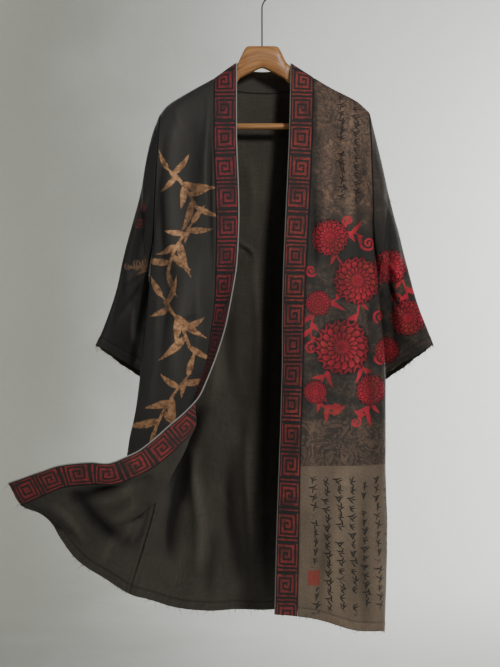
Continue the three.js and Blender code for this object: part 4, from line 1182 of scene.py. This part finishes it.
def back():
    """The back, shoulder to hem, and its lower rim."""
    down = shares((0, CHEST, BACK_ROWS[0]), (CHEST, 1, BACK_ROWS[1]))
    k = shares((0, 3, BACK_COLUMNS[0]), (3, 7, BACK_COLUMNS[1]), (7, 10, BACK_COLUMNS[0]))
    base = back_points(down, k)
    normal = normals_of(base)
    run, drop = lengths(base, 1), lengths(base, 0)
    hem = drop[-1:] - drop
    side = np.minimum(run, run[:, -1:] - run)
    lift = creased(base, CREASES_BACK) * smooth(0, 18, side) * smooth(0.0, 0.1, down)[:, None]
    lift -= 0.7 * smooth(HEM + 2, HEM - 2, hem) * smooth(0, 8, side)
    p = base - normal * lift[..., None]
    under_neck = ((k >= 3) & (k <= 7))[None] * (1 - smooth(0, 6, drop))
    p[..., 1] += RIDGE_GAP / 2 * (1 - smooth(0, 8, drop))
    p[..., 2] -= NECK_DROP * under_neck
    p[:, 0] += unit(p[:, 1] - p[:, 0]) * SEAM_GAP / 2
    p[:, -1] += unit(p[:, -2] - p[:, -1]) * SEAM_GAP / 2
    # below the arms the side edges lap inside the fronts
    lap = smooth(UNDERARM + 0.01, UNDERARM + 0.05, down)[:, None]
    inward = -normals_of(p)
    past, far_in = SIDE_LAP
    for edge, near in ((0, 1), (-1, -2)):
        p[:, edge] += (unit(p[:, edge] - p[:, near]) * past + inward[:, edge] * far_in) * lap
    maps = {"cloth": np.stack([run - run[:, -1:] / 2, drop], -1), "print": base[..., [0, 2]]}
    values = {"hem": hem, "rim": np.minimum(hem, FAR), "side": side, "fold": lift}
    return shell("back", p, normals_of(p), maps, [PLAIN, INSIDE], values=values), rim_of(p)


def neck_band():
    """The band round the back neck, and its cord."""
    rounds, wide = np.linspace(0, 1, NECK_ROWS), np.linspace(0, 1, NECK_COLUMNS)
    a, b = through(NECK_SEAM, rounds), through(NECK_FREE, rounds)
    length = np.linalg.norm(b - a, axis=1, keepdims=True)
    first, last = SEAM_GAP * 0.6 / length, 1 - 0.6 / length
    share = (first + (last - first) * wide[None])[..., None]
    p = a[:, None] * (1 - share) + b[:, None] * share
    p[0, :, 1] = p[-1, :, 1] = RIDGE_GAP / 2
    # the sewn edge laps down inside the back
    lap_down, far_in = NECK_LAP
    lap = (a - b) / length * lap_down + [0, -far_in, 0]
    p[:, 0] += lap * smooth(0, 0.06, rounds * (1 - rounds) * 4)[:, None]
    normal = normals_of(p)
    run, along = lengths(p, 1), lengths(p, 0)
    width = run[:, -1:]
    middle = np.repeat(along[:, [NECK_COLUMNS // 2]], NECK_COLUMNS, axis=1)
    piece = shell(
        "band_neck", p, normal, {"cloth": np.stack([(run / width - 0.5) * BAND_WIDE, middle], -1)},
        [BAND_L, BAND_NECK],
        values={"rim": np.minimum(run, width - run), "hem": np.full(run.shape, FAR)},
    )
    out = unit(b - a)
    n = normal[:, -1]
    centre = b - out * PIPING_D * 0.5
    centre[[0, -1], 1] = RIDGE_GAP / 2
    v = unit(n - out * np.sum(n * out, axis=1, keepdims=True))
    cord = tube("piping_neck", "cord", centre, out, v, PIPING_D / 2, 12, PIPING["left"])
    return piece, cord


def sleeve(side, table, outer, look, creases):
    """A sleeve, its cuff's rim, and the places on its outer fold for thread knots."""
    down = np.linspace(0, 1, SLEEVE_ROWS)
    turn = np.arange(SLEEVE_COLUMNS) / SLEEVE_COLUMNS
    base = ring_points(table, down, turn)
    normal = normals_of(base, ring=True)
    drop = lengths(base, 0)
    hem = drop[-1:] - drop
    away = smooth(0.05, 0.6, np.abs(np.sin(2 * math.pi * turn)))[None]
    lift = creased(base, creases, 0.8) * smooth(0, 22, drop) * away
    lift += 0.6 * smooth(HEM + 2, HEM - 2, hem) - 1.0 * np.exp(-((drop / 3.0) ** 2))
    p = base + normal * (outer * lift)[..., None]
    p[-1, :, 2] += 0.8 * np.sin(turn * 2 * math.pi * 9 + 1) + 0.6 * np.sin(turn * 2 * math.pi * 23)
    closed = np.concatenate([base, base[:, :1]], axis=1)
    deep = np.concatenate([drop, drop[:, :1]], axis=1)
    x, z = base[..., 0], base[..., 2]
    values = {"hem": hem, "rim": np.minimum(hem, FAR), "side": np.minimum(drop, FAR), "fold": -lift}
    values["front"] = np.repeat(smooth(-0.02, 0.03, np.sin(2 * math.pi * turn))[None], len(down), axis=0)
    if side == "right":
        values["leaf"] = np.clip(cloud(x, z), -30, 60)
    else:
        values["red"] = red_print(x, z)
    maps = {"cloth": np.stack([lengths(closed, 1), deep], -1), "print": closed[..., [0, 2]]}
    piece = shell(f"sleeve_{side}", p, normals_of(p, ring=True), maps, [look, INSIDE], outer, ring=True,
                  values=values)
    spots = [int(np.argmin(np.abs(p[:, 0, 2] - z))) for z in KNOTS]
    knots = [(p[i : i + 2, 0], normal[i : i + 2, 0] * outer) for i in spots]
    return piece, rim_of(p), knots


back_piece, back_rim = back()
neck_piece, neck_cord = neck_band()
sleeve_right, cuff_right, _ = sleeve(
    "right", SLEEVE_RIGHT, -1, outer_look("right_sleeve_cloth", "sleeve_right"), CREASES_SLEEVE_RIGHT
)
sleeve_left, cuff_left, knots_left = sleeve(
    "left", SLEEVE_LEFT, 1, outer_look("left_sleeve_cloth", "sleeve_left"), CREASES_SLEEVE_LEFT
)


# Frayed threads
def threads(node, rims, count, part=""):
    """Short loose threads along worn edges; each rim is its points and the way out past them."""
    chance = np.random.default_rng(len(node) * 7 + count)
    points, faces = [], []
    for _ in range(count):
        line, out = rims[int(chance.integers(len(rims)))]
        spot = chance.random() * (len(line) - 1.001)
        i, f = int(spot), spot % 1
        at = line[i] * (1 - f) + line[i + 1] * f
        way = unit(out[i] + chance.normal(0, 0.55, 3))
        long = 2.0 + 3.5 * chance.random() + (8.0 if chance.random() < 0.12 else 0)
        curl = chance.normal(0, 0.5, 3)
        side = unit(np.cross(way, [0.3, 1.0, 0.2]))
        up = np.cross(side, way)
        first = len(points)
        for n in range(4):
            t = n / 3
            centre = at + way * (long * t - 1.2) + curl * long * 0.45 * t * t + [0, 0, -0.25 * long * t * t]
            for a in (0, 1, 2):
                turn = 2 * math.pi * a / 3
                ring = side * math.cos(turn) + up * math.sin(turn)
                points.append(centre + ring * (0.42 - 0.2 * t))
        for n in range(3):
            for a in (0, 1, 2):
                b = (a + 1) % 3
                low, high = first + 3 * n, first + 3 * n + 3
                faces.append((low + a, low + b, high + b, high + a))
        faces += [(first + 2, first + 1, first), (first + 9, first + 10, first + 11)]
    piece_of(f"threads_{node}{part}", points, faces, [THREAD], node, soft=False)


def thread_look():
    look = Look("loose_thread")
    place = look.node("ShaderNodeTexCoord").outputs["Object"]
    pick = look.noise(place, 120.0, 2.0)
    colour = look.mix(pick.over(0.4, 0.6), shade(26, 23, 20), shade(64, 57, 48))
    return look.finish(colour, 0.8, pick, 0.00005)


THREAD = thread_look()
threads("front_right", [right[3]], 90)
threads("front_left", [left[3]], 60)
threads("back", [back_rim], 130)
threads("sleeve_right", [cuff_right], 100)
threads("sleeve_left", [cuff_left], 120)
threads("sleeve_left", knots_left, 14, "_knots")


# Hanger
def yoke():
    """The carved wood: oval sections from one tip over the head to the other."""
    under = CLOTH / 2 + WOOD_GAP
    stations = []
    for side in (-1, 1):
        rows = [(side * x, top, bottom, half) for x, top, bottom, half in HEAD]
        for x, depth, half in ARM:
            top = float(through(SHOULDER, side * x)[0]) - under
            rows.append((side * x, top, top - depth, half))
        stations += rows[::-1][:-1] if side < 0 else rows
    n, sides = 260, 48
    x = np.linspace(stations[0][0], stations[-1][0], n)
    top, bottom, half = through(stations, x).T
    middle = (top + bottom) / 2
    a = 2 * math.pi * (np.arange(sides) + 0.5) / sides
    rounded = lambda c: np.sign(c) * np.abs(c) ** 0.8
    y = half[:, None] * rounded(np.cos(a))[None]
    z = middle[:, None] + ((top - bottom) / 2)[:, None] * rounded(np.sin(a))[None]
    points = np.stack([np.repeat(x[:, None], sides, axis=1), y, z], -1).reshape(-1, 3)
    ends = np.stack([x[[0, -1]], [0, 0], middle[[0, -1]]], -1)
    _, _, faces = ring_faces(n, sides)
    piece_of("hanger_yoke_wood", np.concatenate([points, ends]), faces, [wood_look("carved_wood", False)],
             "hanger_yoke")


def bar():
    n = 60
    centre = np.stack([np.linspace(-BAR_HALF, BAR_HALF, n), np.zeros(n), np.full(n, float(BAR_LEVEL))], -1)
    y_way, z_way = np.tile([0.0, 1.0, 0.0], (n, 1)), np.tile([0.0, 0.0, 1.0], (n, 1))
    tube("hanger_bar", "wood", centre, y_way, z_way, BAR_R, 32, wood_look("bar_wood", True))


def hook():
    """Straight wire up from the head, then the crook."""
    path = [(0, -155.4), (0, -120), (0, -90), (0, -64), (0.4, -54), (4, -45), (11, -36.5)]
    for a in range(-25, 201, 15):
        t = math.radians(a)
        path.append((CROOK_R * math.cos(t), CROOK_LEVEL + CROOK_R * math.sin(t)))
    rows = [(n, x, z) for n, (x, z) in enumerate(path)]
    n = 150
    xz = through(rows, np.linspace(0, len(rows) - 1, n))
    centre = np.stack([xz[:, 0], np.zeros(n), xz[:, 1]], -1)
    y_way = np.tile([0.0, 1.0, 0.0], (n, 1))
    across_wire = np.cross(unit(np.gradient(centre, axis=0)), y_way)
    tube("hanger_hook", "wire", centre, across_wire, y_way, WIRE_R, 16, wire_look("hook_wire"))


yoke()
bar()
hook()


# Studio
def studio():
    """A plastered wall that runs down into the floor, its colour painted darker on the left and lighter on
    the right for the light that falls from the right.
    """
    wall_y, floor_z, bend = 3.7, -1.8, 1.0
    profile = [(-5.5, floor_z)]
    for n in range(13):
        a = math.radians(90 * n / 12)
        profile.append((wall_y - bend + bend * math.sin(a), floor_z + bend - bend * math.cos(a)))
    profile.append((wall_y, 4.5))
    points = [(x, y, z) for x in (-7, 7) for y, z in profile]
    n = len(profile)
    faces = [(m, m + n, m + n + 1, m + 1) for m in range(n - 1)]
    mesh = bpy.data.meshes.new("studio_sweep")
    mesh.from_pydata(points, [], faces)
    mesh.polygons.foreach_set("use_smooth", np.ones(len(faces), bool))
    look = Look("studio_plaster")
    place = look.node("ShaderNodeTexCoord").outputs["Object"]
    mottle = look.noise(place, 0.9, 4.0, 0.55)
    tooth = look.noise(place, 40.0, 3.0)
    x, _, _ = look.split(place)
    # painted light: the plaster's colour graded from dark at the left to light at the right, with a mottled
    # edge
    right = (x + (mottle - 0.5) * 1.0).over(-1.15, 0.5)
    colour = look.mix(right, shade(143, 144, 135), shade(226, 227, 224))
    colour = look.scaled(colour, 0.96 + tooth * 0.08)
    mesh.materials.append(look.finish(colour, 0.9, tooth, 0.0004, specular=0.1))
    sweep = in_scene("studio_sweep", mesh)


def lamp(name, place, aim, size, power, colour):
    data = bpy.data.lights.new(name, "AREA")
    data.shape, data.size, data.energy, data.color = "DISK", size, power, colour
    made = in_scene(name, data)
    made.location = place
    way = np.array(aim, float) - np.array(place, float)
    lean = math.acos(-way[2] / np.linalg.norm(way))
    made.rotation_euler = (lean, 0, math.atan2(way[1], way[0]) - math.pi / 2)


studio()
lamp("key", (1.35, -2.7, 0.85), (0, 0, -0.5), 0.6, 72, (1.0, 0.985, 0.96))
lamp("fill", (-2.6, -1.3, 0.6), (0, 0, -0.6), 0.9, 15, (0.97, 0.99, 1.0))
lamp("wall_right", (2.8, 2.2, -0.1), (1.2, 3.7, -0.7), 1.2, 128, (1.0, 1.0, 1.0))
lamp("wall_left", (-2.7, 2.3, -0.5), (-1.1, 3.7, -0.75), 1.0, 34, (1.0, 1.0, 0.98))
lamp("back", (-1.8, 3.2, 1.6), (0, 0, -0.6), 1.4, 34, (1.0, 1.0, 1.0))
world = bpy.data.worlds.new("studio_air")
world.use_nodes = True
world.node_tree.nodes["Background"].inputs[0].default_value = (0.82, 0.84, 0.83, 1)
world.node_tree.nodes["Background"].inputs[1].default_value = 0.155
bpy.context.scene.world = world

# the photograph's view
camera_data = bpy.data.cameras.new("camera")
camera_data.lens = 68.45
camera_data.sensor_width = 36
camera = in_scene("camera", camera_data)
camera.location = (-0.0246, -2.6, -0.7247)
camera.rotation_euler = (math.pi / 2, 0, 0)
bpy.context.scene.camera = camera
